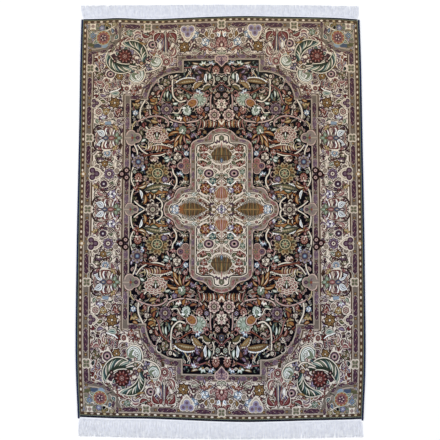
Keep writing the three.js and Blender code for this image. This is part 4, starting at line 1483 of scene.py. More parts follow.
    # the rosette in the middle
    chart.fill(star(6.6, 6, 0.16), "umber", (0, 0), 30)
    chart.fill(star(6.1, 6, 0.16), "ivory", (0, 0), 30)
    rosette(chart, (0, 0), 4.4, "lilac", 8)
    chart.fill(disc(1.5, 8), "ink")
    chart.fill(disc(0.7, 6), "sky")


# ---- From the chart to the cloth ----

STRAIGHTENING_ROUNDS = 8
FILLING_ROUNDS = 60
FACE_MAP = (0.005, 0.98)  # where the face of a cloth starts in its map, and the size of its length there
HIDDEN_MAP = (0.76, 0.2)  # the same across, for the walls and the far side


def dye_lines(tris, dyes):
    """The lines of a flat mesh where one dye meets another or the cloth ends, as pairs of corners with
    the lower number first, and the dyes on their left and right (-1 past the cloth's end)."""
    ends = np.vstack([tris[:, [0, 1]], tris[:, [1, 2]], tris[:, [2, 0]]])
    lines, back = np.unique(np.sort(ends, axis=1), axis=0, return_inverse=True)
    sides = np.full((len(lines), 2), -1)
    sides[back.reshape(-1), (ends[:, 0] > ends[:, 1]).astype(int)] = np.tile(dyes, 3)
    kept = sides[:, 0] != sides[:, 1]
    return lines[kept], sides[kept]


def straightened(points, lines, sides, bend=0.04, longest=5.2):
    """The lines without their needless corners: one that two lines alone share goes where it lies within
    bend of the straight between their far ends, and that straight is no longer than longest."""
    rng = np.random.default_rng(1)
    for _ in range(STRAIGHTENING_ROUNDS):
        ends = lines.ravel()
        order = np.argsort(ends, kind="stable")
        count = np.bincount(ends, minlength=len(points))
        first = np.cumsum(count) - count
        middle = np.flatnonzero(count == 2)
        one, other = order[first[middle]], order[first[middle] + 1]
        a, b = ends[one ^ 1], ends[other ^ 1]
        chord, arm = points[b] - points[a], points[middle] - points[a]
        length = np.linalg.norm(chord, axis=1)
        away = np.abs(chord[:, 0] * arm[:, 1] - chord[:, 1] * arm[:, 0]) / np.maximum(length, 1e-6)
        taken = np.isin(np.minimum(a, b) * len(points) + np.maximum(a, b),
                        lines.min(axis=1) * len(points) + lines.max(axis=1))
        spare = (away < bend) & (length < longest) & (length > 0.2) & ~taken
        rank = np.zeros(len(points))
        rank[middle[spare]] = rng.random(np.count_nonzero(spare)) + 0.5
        gone = spare & (rank[middle] > rank[a]) & (rank[middle] > rank[b])
        lines[one[gone] // 2, one[gone] % 2] = b[gone]
        left = np.ones(len(lines), bool)
        left[other[gone] // 2] = False
        lines, sides = lines[left], sides[left]
    return lines, sides


def dyed_faces(points, lines, sides):
    """Triangles between the lines and inside the outline, each with its dye: from the side of the line
    that it lies on, or from a neighbour that has one."""
    used, ends = np.unique(lines, return_inverse=True)
    ends = ends.reshape(-1, 2)
    start = points[used]
    outline = np.where(sides[:, :1] < 0, ends[:, ::-1], ends)[(sides < 0).any(axis=1)]
    after = dict(outline.tolist())
    loop = [int(outline[0, 0])]
    while after[loop[-1]] != loop[0]:
        loop.append(after[loop[-1]])
    corners = [Vector(c) for c in start.tolist()]
    points, edges, faces, _, parents, owners = delaunay_2d_cdt(corners, ends.tolist(), [loop], 0, 1e-5, True)
    points, edges = np.array([tuple(p) for p in points]), np.sort(np.array(edges), axis=1)
    faces = np.array(faces)[[len(o) > 0 for o in owners]]
    parent = np.array([min(p, default=len(lines)) for p in parents])
    edges, parent = edges[parent < len(lines)], parent[parent < len(lines)]
    run = points[edges[:, 1]] - points[edges[:, 0]]
    same = np.sum(run * (start[ends[parent, 1]] - start[ends[parent, 0]]), axis=1) > 0
    known = np.where(same[:, None], sides[parent], sides[parent][:, ::-1])
    keys = edges[:, 0] * len(points) + edges[:, 1]
    order = np.argsort(keys)
    keys, known = keys[order], known[order]
    halves = np.vstack([faces[:, [0, 1]], faces[:, [1, 2]], faces[:, [2, 0]]])
    owner = np.tile(np.arange(len(faces)), 3)
    key = halves.min(axis=1) * len(points) + halves.max(axis=1)
    spot = np.minimum(np.searchsorted(keys, key), len(keys) - 1)
    on_line = keys[spot] == key
    dyes = np.full(len(faces), -1)
    dyes[owner[on_line]] = known[spot[on_line], (halves[on_line, 0] > halves[on_line, 1]).astype(int)]
    inner = np.flatnonzero(~on_line)
    inner = inner[np.argsort(key[inner], kind="stable")]
    pair = np.flatnonzero(key[inner][:-1] == key[inner][1:])
    one, other = owner[inner[pair]], owner[inner[pair + 1]]
    for _ in range(FILLING_ROUNDS):
        for here, there in ((one, other), (other, one)):
            open_ones = (dyes[here] < 0) & (dyes[there] >= 0)
            dyes[here[open_ones]] = dyes[there[open_ones]]
    used, faces = np.unique(faces, return_inverse=True)
    return points[used], faces.reshape(-1, 3), np.maximum(dyes, 0)


def cut_chart(chart, region, least=0.0):
    """Cut the overlapping shapes into triangles that don't overlap. Each place keeps the dye of the shape
    laid last over it, only the lines where the dye changes stay, and what lies outside the region's
    outline is dropped. Shapes whose box covers less than the least area are left out."""
    low, high = np.min(region, axis=0) - 0.5, np.max(region, axis=0) + 0.5
    shapes, dyes = [facing(region)], [0]
    for shape, dye in zip(chart.shapes, chart.dyes):
        below, above = shape.min(axis=0), shape.max(axis=0)
        if np.all(above > low) and np.all(below < high) and np.prod(above - below) >= least:
            shapes.append(shape)
            dyes.append(dye)
    ends = np.cumsum([len(s) for s in shapes])
    loops = [list(range(e - len(s), e)) for e, s in zip(ends, shapes)]
    corners = [Vector(c) for c in np.vstack(shapes).tolist()]
    points, _, faces, _, _, owners = delaunay_2d_cdt(corners, [], loops, 0, 1e-5, True)
    kept = [k for k, o in enumerate(owners) if 0 in o]
    tris = np.array([faces[k] for k in kept])
    dyes = np.array([dyes[max(owners[k])] for k in kept])
    points = np.array([tuple(p) for p in points])
    return dyed_faces(points, *straightened(points, *dye_lines(tris, dyes)))


def mirrored(points, tris, dyes, ends=(1, -1)):
    """Copies of a quarter about the two middle lines, joined where they meet: the copies that are
    turned over have their corners put in the other order."""
    points = np.where(np.abs(points) < 1e-4, 0.0, points)
    all_points, all_tris = [], []
    for k, (su, sv) in enumerate([(side, end) for end in ends for side in (1, -1)]):
        all_points.append(points * (su, sv))
        all_tris.append((tris if su * sv > 0 else tris[:, ::-1]) + k * len(points))
    joined = np.vstack(all_points) + 0.0
    _, first, back = np.unique(joined, axis=0, return_index=True, return_inverse=True)
    tris, dyes = back.reshape(-1)[np.vstack(all_tris)], np.tile(dyes, 2 * len(ends))
    whole = (tris[:, 0] != tris[:, 1]) & (tris[:, 1] != tris[:, 2]) & (tris[:, 2] != tris[:, 0])
    return joined[first], tris[whole], dyes[whole]


def pile_edge(end, x):
    """Where the pile stops at an end, at x."""
    return end_y(end, x, BAND_WIDTH[end] + GAP)


def laid(points):
    """Chart places to places on the floor. y is the middle plus the stations' length for v, plus the end
    edge's own bow times (v / V) cubed. x runs in proportion from the middle to the side edge at y."""
    u, v = points.T
    x = MIDDLE[0] + u / CHART_U * PILE_X
    share = np.abs(v) / CHART_V
    y = np.empty_like(u)
    for column, end in ((1, "top"), (2, "bottom")):
        rows = STATIONS.copy()
        mean = np.mean(END_SIGN[end] * (pile_edge(end, END_EDGES[:, 0]) - MIDDLE[1]))
        rows[-1, column] = mean
        bow = END_SIGN[end] * (pile_edge(end, x) - MIDDLE[1]) - mean
        here = (v * END_SIGN[end] >= 0)
        away = along(rows, column, np.abs(v)) + bow * share ** 3
        y[here] = (MIDDLE[1] + END_SIGN[end] * away)[here]
    for side in (-1, 1):
        edge = side_x(side, y, SELVEDGE_WIDTH + GAP)
        here = u * side >= 0
        x[here] = (MIDDLE[0] + np.abs(u) / CHART_U * (edge - MIDDLE[0]))[here]
    return np.column_stack([x, y])


def rim_loops(tris):
    """The outlines of a flat mesh, each in order: the edges that only one triangle has, end to end."""
    edges = np.vstack([tris[:, [0, 1]], tris[:, [1, 2]], tris[:, [2, 0]]])
    keys = np.sort(edges, axis=1)
    _, first, count = np.unique(keys, axis=0, return_index=True, return_counts=True)
    after = dict(edges[first[count == 1]].tolist())
    loops = []
    while after:
        start, here = after.popitem()
        loop = [start]
        while here != start:
            loop.append(here)
            here = after.pop(here)
        loops.append(np.array(loop))
    return loops


def cloth_slab(flat, tris, face_z, far_z, outer):
    """A closed slab with a patterned face and a plain far side. Where its outline is the cloth's own
    edge (outer), the face turns down there."""
    loops = rim_loops(tris)
    loops.sort(key=lambda loop: -np.ptp(flat[loop, 0]))
    rim = np.concatenate(loops)
    z = np.full(len(flat), face_z)
    z[rim[outer[rim]]] += EDGE_TURN * (far_z - face_z)
    face = np.column_stack([flat, z])
    far = np.column_stack([flat[rim], np.full(len(rim), far_z)])
    ends = np.cumsum([len(loop) for loop in loops])
    rings = [np.arange(e - len(loop), e) for e, loop in zip(ends, loops)]
    walls = []
    for here in rings:
        after = np.roll(here, -1)
        walls.append(np.column_stack([rim[here], len(flat) + here, len(flat) + after]))
        walls.append(np.column_stack([rim[here], len(flat) + after, rim[after]]))
    corners = [Vector(p) for p in far[:, :2].tolist()]
    outlines = [rings[0].tolist()] + [ring[::-1].tolist() for ring in rings[1:]]
    _, _, faces, _, _, owners = delaunay_2d_cdt(corners, [], outlines, 0, 1e-9, True)
    far_side = np.array([f for f, o in zip(faces, owners) if o == [0]])[:, ::-1] + len(flat)
    faces = np.vstack([tris] + walls + [far_side])
    if far_z > face_z:
        faces = faces[:, ::-1]
    return np.vstack([face, far]), faces


def new_piece(name, verts, tris, stands_for, smooth):
    """A mesh piece from whole arrays, its faces triangles; smooth says which of them are shaded so."""
    mesh = bpy.data.meshes.new(name)
    mesh.vertices.add(len(verts))
    mesh.vertices.foreach_set("co", np.ascontiguousarray(verts, np.float32).ravel())
    mesh.loops.add(tris.size)
    mesh.loops.foreach_set("vertex_index", np.ascontiguousarray(tris, np.int32).ravel())
    mesh.polygons.add(len(tris))
    mesh.polygons.foreach_set("loop_start", np.arange(0, tris.size, 3, dtype=np.int32))
    mesh.polygons.foreach_set("use_smooth", smooth)
    mesh.update(calc_edges=True)
    mesh.validate()
    piece = bpy.data.objects.new(name, mesh)
    bpy.context.scene.collection.objects.link(piece)
    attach(piece, "root")
    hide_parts(stands_for)
    return piece


def lay_uv(piece, u, v):
    """The map that the finish is kept in: one place per face corner."""
    uv = piece.data.uv_layers.new(name="OFBake")
    uv.data.foreach_set("uv", np.column_stack([u, v]).astype(np.float32).ravel())


def linear(rgb):
    """sRGB bytes to linear light: ((c + 0.055) / 1.055) ^ 2.4, or c / 12.92 when small."""
    c = np.asarray(rgb, float) / 255
    return np.where(c > 0.04045, ((c + 0.055) / 1.055) ** 2.4, c / 12.92)


def lay_colours(piece, name, shades):
    """A colour for each face, kept at its corners: shades are (n, 3), or (n, 1) for greys."""
    colours = np.ones((len(shades), 4))
    colours[:, :3] = shades
    layer = piece.data.color_attributes.new(name, "FLOAT_COLOR", "CORNER")
    layer.data.foreach_set("color", np.repeat(colours, 3, axis=0).astype(np.float32).ravel())


def dyed(piece, dyes, seed):
    """A colour for each face: its dye, a little lighter or darker. Walls and far sides are plain."""
    table = linear(np.array([DYES[name] for name in DYE_NAMES]))
    rng = np.random.default_rng(seed)
    shades = np.tile(linear(PLAIN_GROUND), (len(piece.data.polygons), 1))
    shades[:len(dyes)] = np.clip(table[dyes] * (1 + rng.normal(0, 0.03, (len(dyes), 1))), 0, 1)
    lay_colours(piece, "dye", shades)


def lay_cloth(name, quarter, face_z, far_z, seed, ends=(1, -1)):
    """One cloth of the rug: a cut part of the chart mirrored, laid and given its colours and map."""
    squares, tris, dyes = mirrored(*quarter, ends)
    outer = (np.abs(squares[:, 0]) > CHART_U - 0.01) | (np.abs(squares[:, 1]) > CHART_V - 0.01)
    verts, faces = cloth_slab(laid(squares), tris, face_z, far_z, outer)
    piece = new_piece(name, verts, faces, "rug_body", np.zeros(len(faces), bool))
    dyed(piece, dyes, seed)
    corner = verts[faces.ravel()] - verts.min(axis=0)
    length = corner[:, 1].max()
    hidden = np.repeat(np.arange(len(faces)) >= len(tris), 3)
    u = np.where(hidden, HIDDEN_MAP[0] + HIDDEN_MAP[1] * corner[:, 0] / length,
                 FACE_MAP[0] + FACE_MAP[1] * corner[:, 0] / length)
    lay_uv(piece, u, FACE_MAP[0] + FACE_MAP[1] * corner[:, 1] / length)
    return piece


def corded(name, path, width, height, pitch, depth, node, sides, rows):
    """An overcast edge: a flattened round section carried along a path. At angle t and length s it is
    drawn in by depth (0.5 - 0.5 cos(2 pi (s / pitch + t / 2 pi))), its underside is flat, and with two
    rows it has a groove between them."""
    lengths = np.concatenate([[0], np.cumsum(np.linalg.norm(np.diff(path, axis=0), axis=1))])
    count = int(lengths[-1] / pitch) * RINGS_PER_TURN
    s = np.linspace(0, lengths[-1], count + 1)
    spine = np.column_stack([np.interp(s, lengths, path[:, 0]), np.interp(s, lengths, path[:, 1])])
    step = np.gradient(spine, axis=0)
    across = np.column_stack([step[:, 1], -step[:, 0]]) / np.linalg.norm(step, axis=1)[:, None]
    t = np.linspace(0, 2 * np.pi, sides, endpoint=False)
    phase = s[:, None] / pitch + t[None, :] / (2 * np.pi)
    draw = 1 - depth * (0.5 - 0.5 * np.cos(2 * np.pi * phase))
    if rows > 1:
        draw = draw * (1 - 0.16 * np.abs(np.cos(t * rows))[None, :] ** 6)
    taper = np.clip(np.minimum(s, lengths[-1] - s) / (0.6 * height) + 0.35, 0, 1)[:, None]
    wide = np.sign(np.cos(t)) * np.abs(np.cos(t)) ** 0.75 * width / 2 * draw * taper
    tall = np.sign(np.sin(t)) * np.abs(np.sin(t)) ** 0.75 * draw * taper
    verts = np.empty((count + 1, sides, 3))
    verts[..., :2] = spine[:, None] + across[:, None] * wide[..., None]
    verts[..., 2] = np.maximum(height * (0.46 + 0.54 * tall), 0.0001)
    ring = np.arange(count + 1)[:, None] * sides
    k = np.arange(sides)[None, :]
    after = (k + 1) % sides
    quads = np.stack([ring[:-1] + k, ring[:-1] + after, ring[1:] + after, ring[1:] + k], -1).reshape(-1, 4)
    tips = np.array([verts[0].mean(axis=0), verts[-1].mean(axis=0)])
    verts = np.vstack([verts.reshape(-1, 3), tips])
    last = (count + 1) * sides
    first_cap = np.column_stack([np.full(sides, last), after[0], k[0]])
    last_cap = np.column_stack([np.full(sides, last + 1), last - sides + k[0], last - sides + after[0]])
    tris = np.vstack([quads[:, [0, 1, 2]], quads[:, [0, 2, 3]], first_cap, last_cap])[:, ::-1]
    piece = new_piece(name, verts, tris, node, np.ones(len(tris), bool))
    where = verts[tris.ravel()]
    lengthwise = abs(path[-1, 1] - path[0, 1]) > 1
    long_way, round_way = (where[:, 1], where[:, 0]) if lengthwise else (where[:, 0], where[:, 1])
    round_way = round_way + 0.5 * where[:, 2]
    round_way = round_way - round_way.min()
    lay_uv(piece, (long_way - long_way.min()) / 2.4, round_way / round_way.max() * 0.2)
    return piece


def end_line(end, inset):
    """Points along an end edge, from the left cord to the right cord, moved inwards by inset."""
    left, right = (side_x(side, end_y(end, side * CORNER_X), SELVEDGE_WIDTH + GAP) for side in (-1, 1))
    x = np.linspace(float(left), float(right), 160)
    return np.column_stack([x, end_y(end, x, inset)])


def web_of(inner, outer, sign):
    """The strip of woven web between two lines, closed, as its corners and triangles."""
    n = len(inner)
    levels = (inner, 0.0), (outer, 0.0), (inner, WEB_HEIGHT), (outer, WEB_HEIGHT * 0.8)
    verts = np.vstack([np.column_stack([line, np.full(n, z)]) for line, z in levels])
    a = np.arange(n - 1)
    low_in, low_out, top_in, top_out = a, n + a, 2 * n + a, 3 * n + a
    quads = np.vstack([np.column_stack(corners) for corners in (
        (top_in, top_in + 1, top_out + 1, top_out), (low_in, low_out, low_out + 1, low_in + 1),
        (low_in, low_in + 1, top_in + 1, top_in), (low_out, top_out, top_out + 1, low_out + 1),
        (0, 2 * n, 3 * n, n), (n - 1, 2 * n - 1, 4 * n - 1, 3 * n - 1))])[:, ::-sign]
    return verts, np.vstack([quads[:, [0, 1, 2]], quads[:, [0, 2, 3]]])


def yarn_faces(total):
    """The triangles of many closed yarns of YARN_RINGS rings with four corners each."""
    size = YARN_RINGS * 4
    ring = np.arange(total)[:, None, None] * size + np.arange(YARN_RINGS - 1)[None, :, None] * 4
    k = np.arange(4)[None, None, :]
    after = (k + 1) % 4
    body = np.stack([ring + k, ring + after, ring + 4 + after, ring + 4 + k], -1).reshape(-1, 4)
    root = np.arange(total)[:, None] * size
    lower = np.vstack([root + (0, 3, 2), root + (0, 2, 1)])
    return np.vstack([body[:, [0, 1, 2]], body[:, [0, 2, 3]], lower, lower[:, ::-1] + size - 4])


def fringe(end, seed):
    """The bared warps of one end: a thin woven web, and fine yarns in locks. A yarn's spine runs from the
    web to its tip; at share s it sways by lean s^1.5 + sum of two sines, and lies at the floor after a
    short drop. Its section is a small round one that thins to the tip."""
    rng = np.random.default_rng(seed)
    sign = END_SIGN[end]
    outer = end_line(end, -GAP - WEB_WIDTH[end])
    web_verts, web_tris = web_of(end_line(end, -GAP), outer, sign)

    # the yarns' roots stand in locks along the web, and each lock keeps its own lean and reach
    total = LOCKS * YARNS_IN_LOCK
    lock = np.repeat(np.arange(LOCKS), YARNS_IN_LOCK)
    left, right = outer[0, 0] + FRINGE_INSET, outer[-1, 0] - FRINGE_INSET
    root_x = left + (right - left) * (np.arange(total) + 0.5) / total
    share = (root_x - left) / (right - left)
    lean = FRINGE_LEAN[end][0] + FRINGE_LEAN[end][1] * share
    lean = lean + rng.normal(0, LEAN_SPREAD[0], LOCKS)[lock] + rng.normal(0, LEAN_SPREAD[1], total)
    gather = (lock + 0.5) / LOCKS * (right - left) + left - root_x
    reach = along(FRINGE_TIPS, END_COLUMN[end], root_x)
    short = rng.normal(0, REACH_SPREAD[0], LOCKS)[lock] + rng.normal(0, REACH_SPREAD[1], total)
    reach = reach - sign * np.abs(short)
    root_y = end_y(end, root_x, -GAP - WEB_WIDTH[end] + ROOT_DEPTH)
    s = np.linspace(0, 1, YARN_RINGS)[None, :]
    sway = rng.uniform(0.0002, 0.0009, (2, total))
    turn = rng.uniform(0, 2 * np.pi, (2, total))
    x = root_x[:, None] + lean[:, None] * s ** 1.5
    x = x + gather[:, None] * 0.2 * np.sin(np.pi * np.minimum(s * 2.2, 1))
    x = x + FRINGE_SPREAD * (2 * share[:, None] - 1) * np.minimum(s / 0.2, 1)
    x = x + sway[0][:, None] * np.sin(5 * s + turn[0][:, None]) * s
    x = x + sway[1][:, None] * np.sin(11 * s + turn[1][:, None]) * s
    y = root_y[:, None] + (reach - root_y)[:, None] * s
    radius = (YARN_RADIUS * (1 - 0.4 * s ** 3)) * rng.uniform(0.8, 1.15, total)[:, None]
    lift = rng.uniform(0, 1, total)[:, None]
    z = radius + 0.0006 * lift * (1 - s) + 0.0008 * (1 - s) ** 3
    t = np.linspace(0, 2 * np.pi, 4, endpoint=False)
    verts = np.empty((total, YARN_RINGS, 4, 3))
    verts[..., 0] = x[..., None] + radius[..., None] * np.cos(t)
    verts[..., 1] = y[..., None]
    verts[..., 2] = z[..., None] + radius[..., None] * np.sin(t)

    verts = np.vstack([web_verts, verts.reshape(-1, 3)])
    tris = np.vstack([web_tris, yarn_faces(total)[:, ::-sign] + len(web_verts)])
    web_count = len(web_tris)
    piece = new_piece("warp_fringe_" + end, verts, tris, "fringe_" + end,
                      np.arange(len(tris)) >= web_count)
    where = verts[tris.ravel()]
    lay_uv(piece, (where[:, 0] - verts[:, 0].min()) / 1.6, np.abs(where[:, 1] - verts[:, 1].min()) / 1.6)
    tint = np.ones((len(tris), 1))
    yarn_of = np.concatenate([np.repeat(np.arange(total), (YARN_RINGS - 1) * 4)] * 2 + [np.arange(total)] * 4)
    shade = rng.uniform(0.95, 1, total) * rng.uniform(0.98, 1, LOCKS)[lock]
    tint[web_count:, 0] = shade[yarn_of]
    lay_colours(piece, "yarn", tint)
    return piece


# ---- Finishes ----

def group(name, inputs, outputs):
    """A shader group with number inputs (name, default) and number outputs (name)."""
    tree = bpy.data.node_groups.new(name, "ShaderNodeTree")
    for label, default in inputs:
        socket = tree.interface.new_socket(name=label, in_out="INPUT", socket_type="NodeSocketFloat")
        socket.default_value = default
    for label in outputs:
        tree.interface.new_socket(name=label, in_out="OUTPUT", socket_type="NodeSocketFloat")
    start, end = tree.nodes.new("NodeGroupInput"), tree.nodes.new("NodeGroupOutput")
    return tree, start.outputs, end.inputs


def feed(tree, socket, value):
    """Give a socket a number, an sRGB colour as bytes, or another socket's output."""
    if isinstance(value, (int, float)):
        socket.default_value = value
    elif isinstance(value, tuple):
        socket.default_value = (*linear(value).tolist(), 1)
    else:
        tree.links.new(value, socket)


def maths(tree, how, *values):
    """One Math node fed by sockets or numbers."""
    node = tree.nodes.new("ShaderNodeMath")
    node.operation = how
    for socket, value in zip(node.inputs, values):
        feed(tree, socket, value)
    return node.outputs[0]


def spread(tree, value, low, high, start=0):
    """A value carried from low..high to start..1, and kept within it."""
    node = tree.nodes.new("ShaderNodeMapRange")
    for socket, number in zip(node.inputs, (value, low, high, start, 1)):
        feed(tree, socket, number)
    return node.outputs["Result"]


def places(tree, scale=(1, 1, 1)):
    """Object coordinates, scaled."""
    coords = tree.nodes.new("ShaderNodeTexCoord")
    mapping = tree.nodes.new("ShaderNodeMapping")
    mapping.inputs["Scale"].default_value = scale
    tree.links.new(coords.outputs["Object"], mapping.inputs["Vector"])
    return mapping.outputs["Vector"]


def parted(tree, vector):
    """The x, y and z of a vector."""
    node = tree.nodes.new("ShaderNodeSeparateXYZ")
    tree.links.new(vector, node.inputs[0])
    return node.outputs


def noise(tree, vector, scale, detail=2, rough=0.5):
    """Soft noise between 0 and 1."""
    node = tree.nodes.new("ShaderNodeTexNoise")
    for label, value in (("Scale", scale), ("Detail", detail), ("Roughness", rough), ("Vector", vector)):
        feed(tree, node.inputs[label], value)
    return node.outputs["Fac"]


def times(tree, colour, value):
    """A colour or a vector grown by a value."""
    node = tree.nodes.new("ShaderNodeVectorMath")
    node.operation = "SCALE"
    tree.links.new(colour, node.inputs[0])
    tree.links.new(value, node.inputs["Scale"])
    return node.outputs["Vector"]


def knot_group():
    """Rows of knots: each knot has its own shade, and a rounded top between its neighbours."""
    tree, given, out = group("Knot rows", [("Knots per metre", KNOTS_PER_METRE), ("Shade", 0.1)],
                             ["Shade", "Height"])
    coords = tree.nodes.new("ShaderNodeTexCoord")
    knot = parted(tree, times(tree, coords.outputs["Object"], given["Knots per metre"]))
    whole = tree.nodes.new("ShaderNodeCombineXYZ")
    for axis in (0, 1):
        tree.links.new(maths(tree, "FLOOR", knot[axis]), whole.inputs[axis])
    chance = tree.nodes.new("ShaderNodeTexWhiteNoise")
    tree.links.new(whole.outputs[0], chance.inputs["Vector"])
    centred = maths(tree, "SUBTRACT", chance.outputs["Value"], 0.5)
    tree.links.new(maths(tree, "MULTIPLY_ADD", centred, given["Shade"], 1), out["Shade"])
    rise = [maths(tree, "ABSOLUTE", maths(tree, "SINE", maths(tree, "MULTIPLY", knot[axis], math.pi)))
            for axis in (0, 1)]
    height = maths(tree, "MULTIPLY", rise[0], maths(tree, "MULTIPLY_ADD", rise[1], 0.5, 0.5))
    tree.links.new(maths(tree, "MULTIPLY_ADD", chance.outputs["Value"], 0.35, height), out["Height"])
    return tree


def age_and_sheen_group():
    """Age and painted sheen: broad bands across the cloth where one dye lot ends, soft cloudy wear, and a
    painted sheen that pales the top end in soft patches.
    """
    tree, given, out = group("Dye lots, wear and painted sheen", [("Bands", 0.1), ("Clouds", 0.1), ("Far end", 0.1)],
                             ["Tone", "Painted sheen", "Length"])
    bands = noise(tree, places(tree, (0.6, 9, 1)), 1, 3)
    clouds = noise(tree, places(tree), 5, 4, 0.6)
    tone = maths(tree, "MULTIPLY_ADD", maths(tree, "SUBTRACT", bands, 0.5), given["Bands"], 1)
    cloud = maths(tree, "MULTIPLY", maths(tree, "SUBTRACT", clouds, 0.5), given["Clouds"])
    tree.links.new(maths(tree, "ADD", tone, cloud), out["Tone"])
    y = parted(tree, places(tree))[1]
    # painted sheen: a ramp from nothing at y = 0.35 m to full at 1.1 m, towards the top end
    far = spread(tree, y, 0.35, 1.1)
    tree.links.new(spread(tree, y, -1, 1), out["Length"])
    # the painted sheen at the top end, broken into soft patches by the clouds
    sheen_patches = maths(tree, "MULTIPLY", far, spread(tree, clouds, 0.35, 0.75, 0.4))
    tree.links.new(maths(tree, "MULTIPLY", sheen_patches, given["Far end"]), out["Painted sheen"])
    return tree


def twist_group():
    """Spun yarn: fine slanting strands, as a height, and as a shade painted from that height: darker in the
    grooves, lighter on the crests.
    """
    tree, given, out = group("Spun yarn", [("Strands per metre", 900), ("Shade", 0.1)], ["Shade", "Height"])
    at = parted(tree, places(tree))
    run = maths(tree, "ADD", at[0], maths(tree, "MULTIPLY", at[1], 0.6))
    run = maths(tree, "MULTIPLY", run, given["Strands per metre"])
    wobble = noise(tree, places(tree), 240)
    turns = maths(tree, "MULTIPLY_ADD", wobble, 5, maths(tree, "MULTIPLY", run, math.tau))
    rise = maths(tree, "MULTIPLY_ADD", maths(tree, "SINE", turns), 0.5, 0.5)
    tree.links.new(rise, out["Height"])
    centred = maths(tree, "SUBTRACT", rise, 0.5)
    # painted shade: the colour follows the strands' height, darker in the grooves and lighter on the crests
    tree.links.new(maths(tree, "MULTIPLY_ADD", centred, given["Shade"], 1), out["Shade"])
    return tree


KNOTS, AGE_AND_SHEEN, TWIST = knot_group(), age_and_sheen_group(), twist_group()


def finish_of(name, rough, sheen):
    """A material with its shader, ready for its colour."""
    material = bpy.data.materials.new(name)
    material.use_nodes = True
    tree = material.node_tree
    shader = tree.nodes["Principled BSDF"]
    for label, value in (("Roughness", rough), ("Specular IOR Level", 0.06), ("Sheen Weight", sheen),
                         ("Sheen Roughness", 0.5)):
        shader.inputs[label].default_value = value
    return material, tree, shader


def placed_group(tree, which, **values):
    """A shared group with its inputs set; a name's words are joined by underscores."""
    node = tree.nodes.new("ShaderNodeGroup")
    node.node_tree = which
    for label, value in values.items():
        node.inputs[label.replace("_", " ")].default_value = value
    return node.outputs


def blended(tree, share, first, second):
    """Two colours blended by a share: sockets or sRGB bytes."""
    node = tree.nodes.new("ShaderNodeMix")
    node.data_type = "RGBA"
    for k, value in ((0, share), (6, first), (7, second)):
        feed(tree, node.inputs[k], value)
    return node.outputs[2]


def finished(tree, shader, colour, height, distance):
    """Give a shader its colour, and its height as relief."""
    tree.links.new(colour, shader.inputs["Base Color"])
    node = tree.nodes.new("ShaderNodeBump")
    node.inputs["Strength"].default_value = 0.6
    node.inputs["Distance"].default_value = distance
    tree.links.new(height, node.inputs["Height"])
    tree.links.new(node.outputs["Normal"], shader.inputs["Normal"])


def pile_finish(name, veil_share, rough, sheen, shade, top_sheen):
    """Dyed pile: the chart's dyes, veiled by the plain ground, with knots, dye lots and wear over them, a
    cooler tint towards the bottom end and a warmer one towards the top, and a painted sheen that pales the
    top end.
    """
    material, tree, shader = finish_of(name, rough, sheen)
    dye = tree.nodes.new("ShaderNodeAttribute")
    dye.attribute_name = "dye"
    knot = placed_group(tree, KNOTS, Knots_per_metre=KNOTS_PER_METRE, Shade=shade)
    age_and_sheen = placed_group(tree, AGE_AND_SHEEN, Bands=0.22, Clouds=0.2, Far_end=top_sheen)
    colour = blended(tree, veil_share, dye.outputs["Color"], PLAIN_GROUND)
    colour = times(tree, colour, maths(tree, "MULTIPLY", knot["Shade"], age_and_sheen["Tone"]))
    # the colour tinted cool towards the bottom end and warm towards the top end
    length_tinted = tree.nodes.new("ShaderNodeVectorMath")
    length_tinted.operation = "MULTIPLY"
    tree.links.new(colour, length_tinted.inputs[0])
    tree.links.new(blended(tree, age_and_sheen["Length"], (228, 235, 246), (238, 233, 224)), length_tinted.inputs[1])
    # painted sheen: the colour paled towards a warm pale grey at the top end
    colour = blended(tree, age_and_sheen["Painted sheen"], length_tinted.outputs["Vector"], (190, 184, 160))
    finished(tree, shader, colour, knot["Height"], 0.0006)
    return material


def yarn_finish(name, dark, light, rough, sheen, strands, distance, attribute=None, shade=0.22):
    """Plain spun yarn between two shades, with soft wear, and a painted shade in the grooves of its twist."""
    material, tree, shader = finish_of(name, rough, sheen)
    twist = placed_group(tree, TWIST, Strands_per_metre=strands, Shade=shade)
    patch = noise(tree, places(tree), 60, 3)
    colour = blended(tree, spread(tree, patch, 0.3, 0.7), dark, light)
    colour = times(tree, colour, twist["Shade"])
    if attribute:
        tint = tree.nodes.new("ShaderNodeAttribute")
        tint.attribute_name = attribute
        colour = times(tree, colour, tint.outputs["Fac"])
    finished(tree, shader, colour, twist["Height"], distance)
    return material


# ---- The rug ----

chart = Chart()
draw_grounds(chart)
draw_guards(chart)
draw_corner_box(chart)
draw_border(chart)
draw_field(chart)
draw_ornaments(chart)
draw_medallion(chart)
BACK_LEAST = 80  # squares: only the larger shapes are told on the back
# the last number of each is the strength of the painted sheen at the top end
silk = pile_finish("dyed silk pile", 0, 0.9, 0, 0.42, 0.05)
backing = pile_finish("knotted back", 0.35, 0.85, 0.05, 0.4, 0)
middle_line = grown(curve(MEDALLION_EDGE, 3), 0.9)
middle_part = closed_quarter(middle_line)
field_part = stepped(np.vstack([[(FIELD_PART[0], 0), FIELD_PART, (0, FIELD_PART[1])], middle_line]))
border_part = stepped([(FIELD_PART[0], 0), (GUARD_PART[0], 0), GUARD_PART, (0, GUARD_PART[1]),
                       (0, FIELD_PART[1]), FIELD_PART])
guard_part = stepped([(GUARD_PART[0], 0), (CHART_U, 0), (CHART_U, CHART_V), (0, CHART_V),
                      (0, GUARD_PART[1]), GUARD_PART])
field_cut = cut_chart(chart, field_part)
border_cut = cut_chart(chart, border_part)

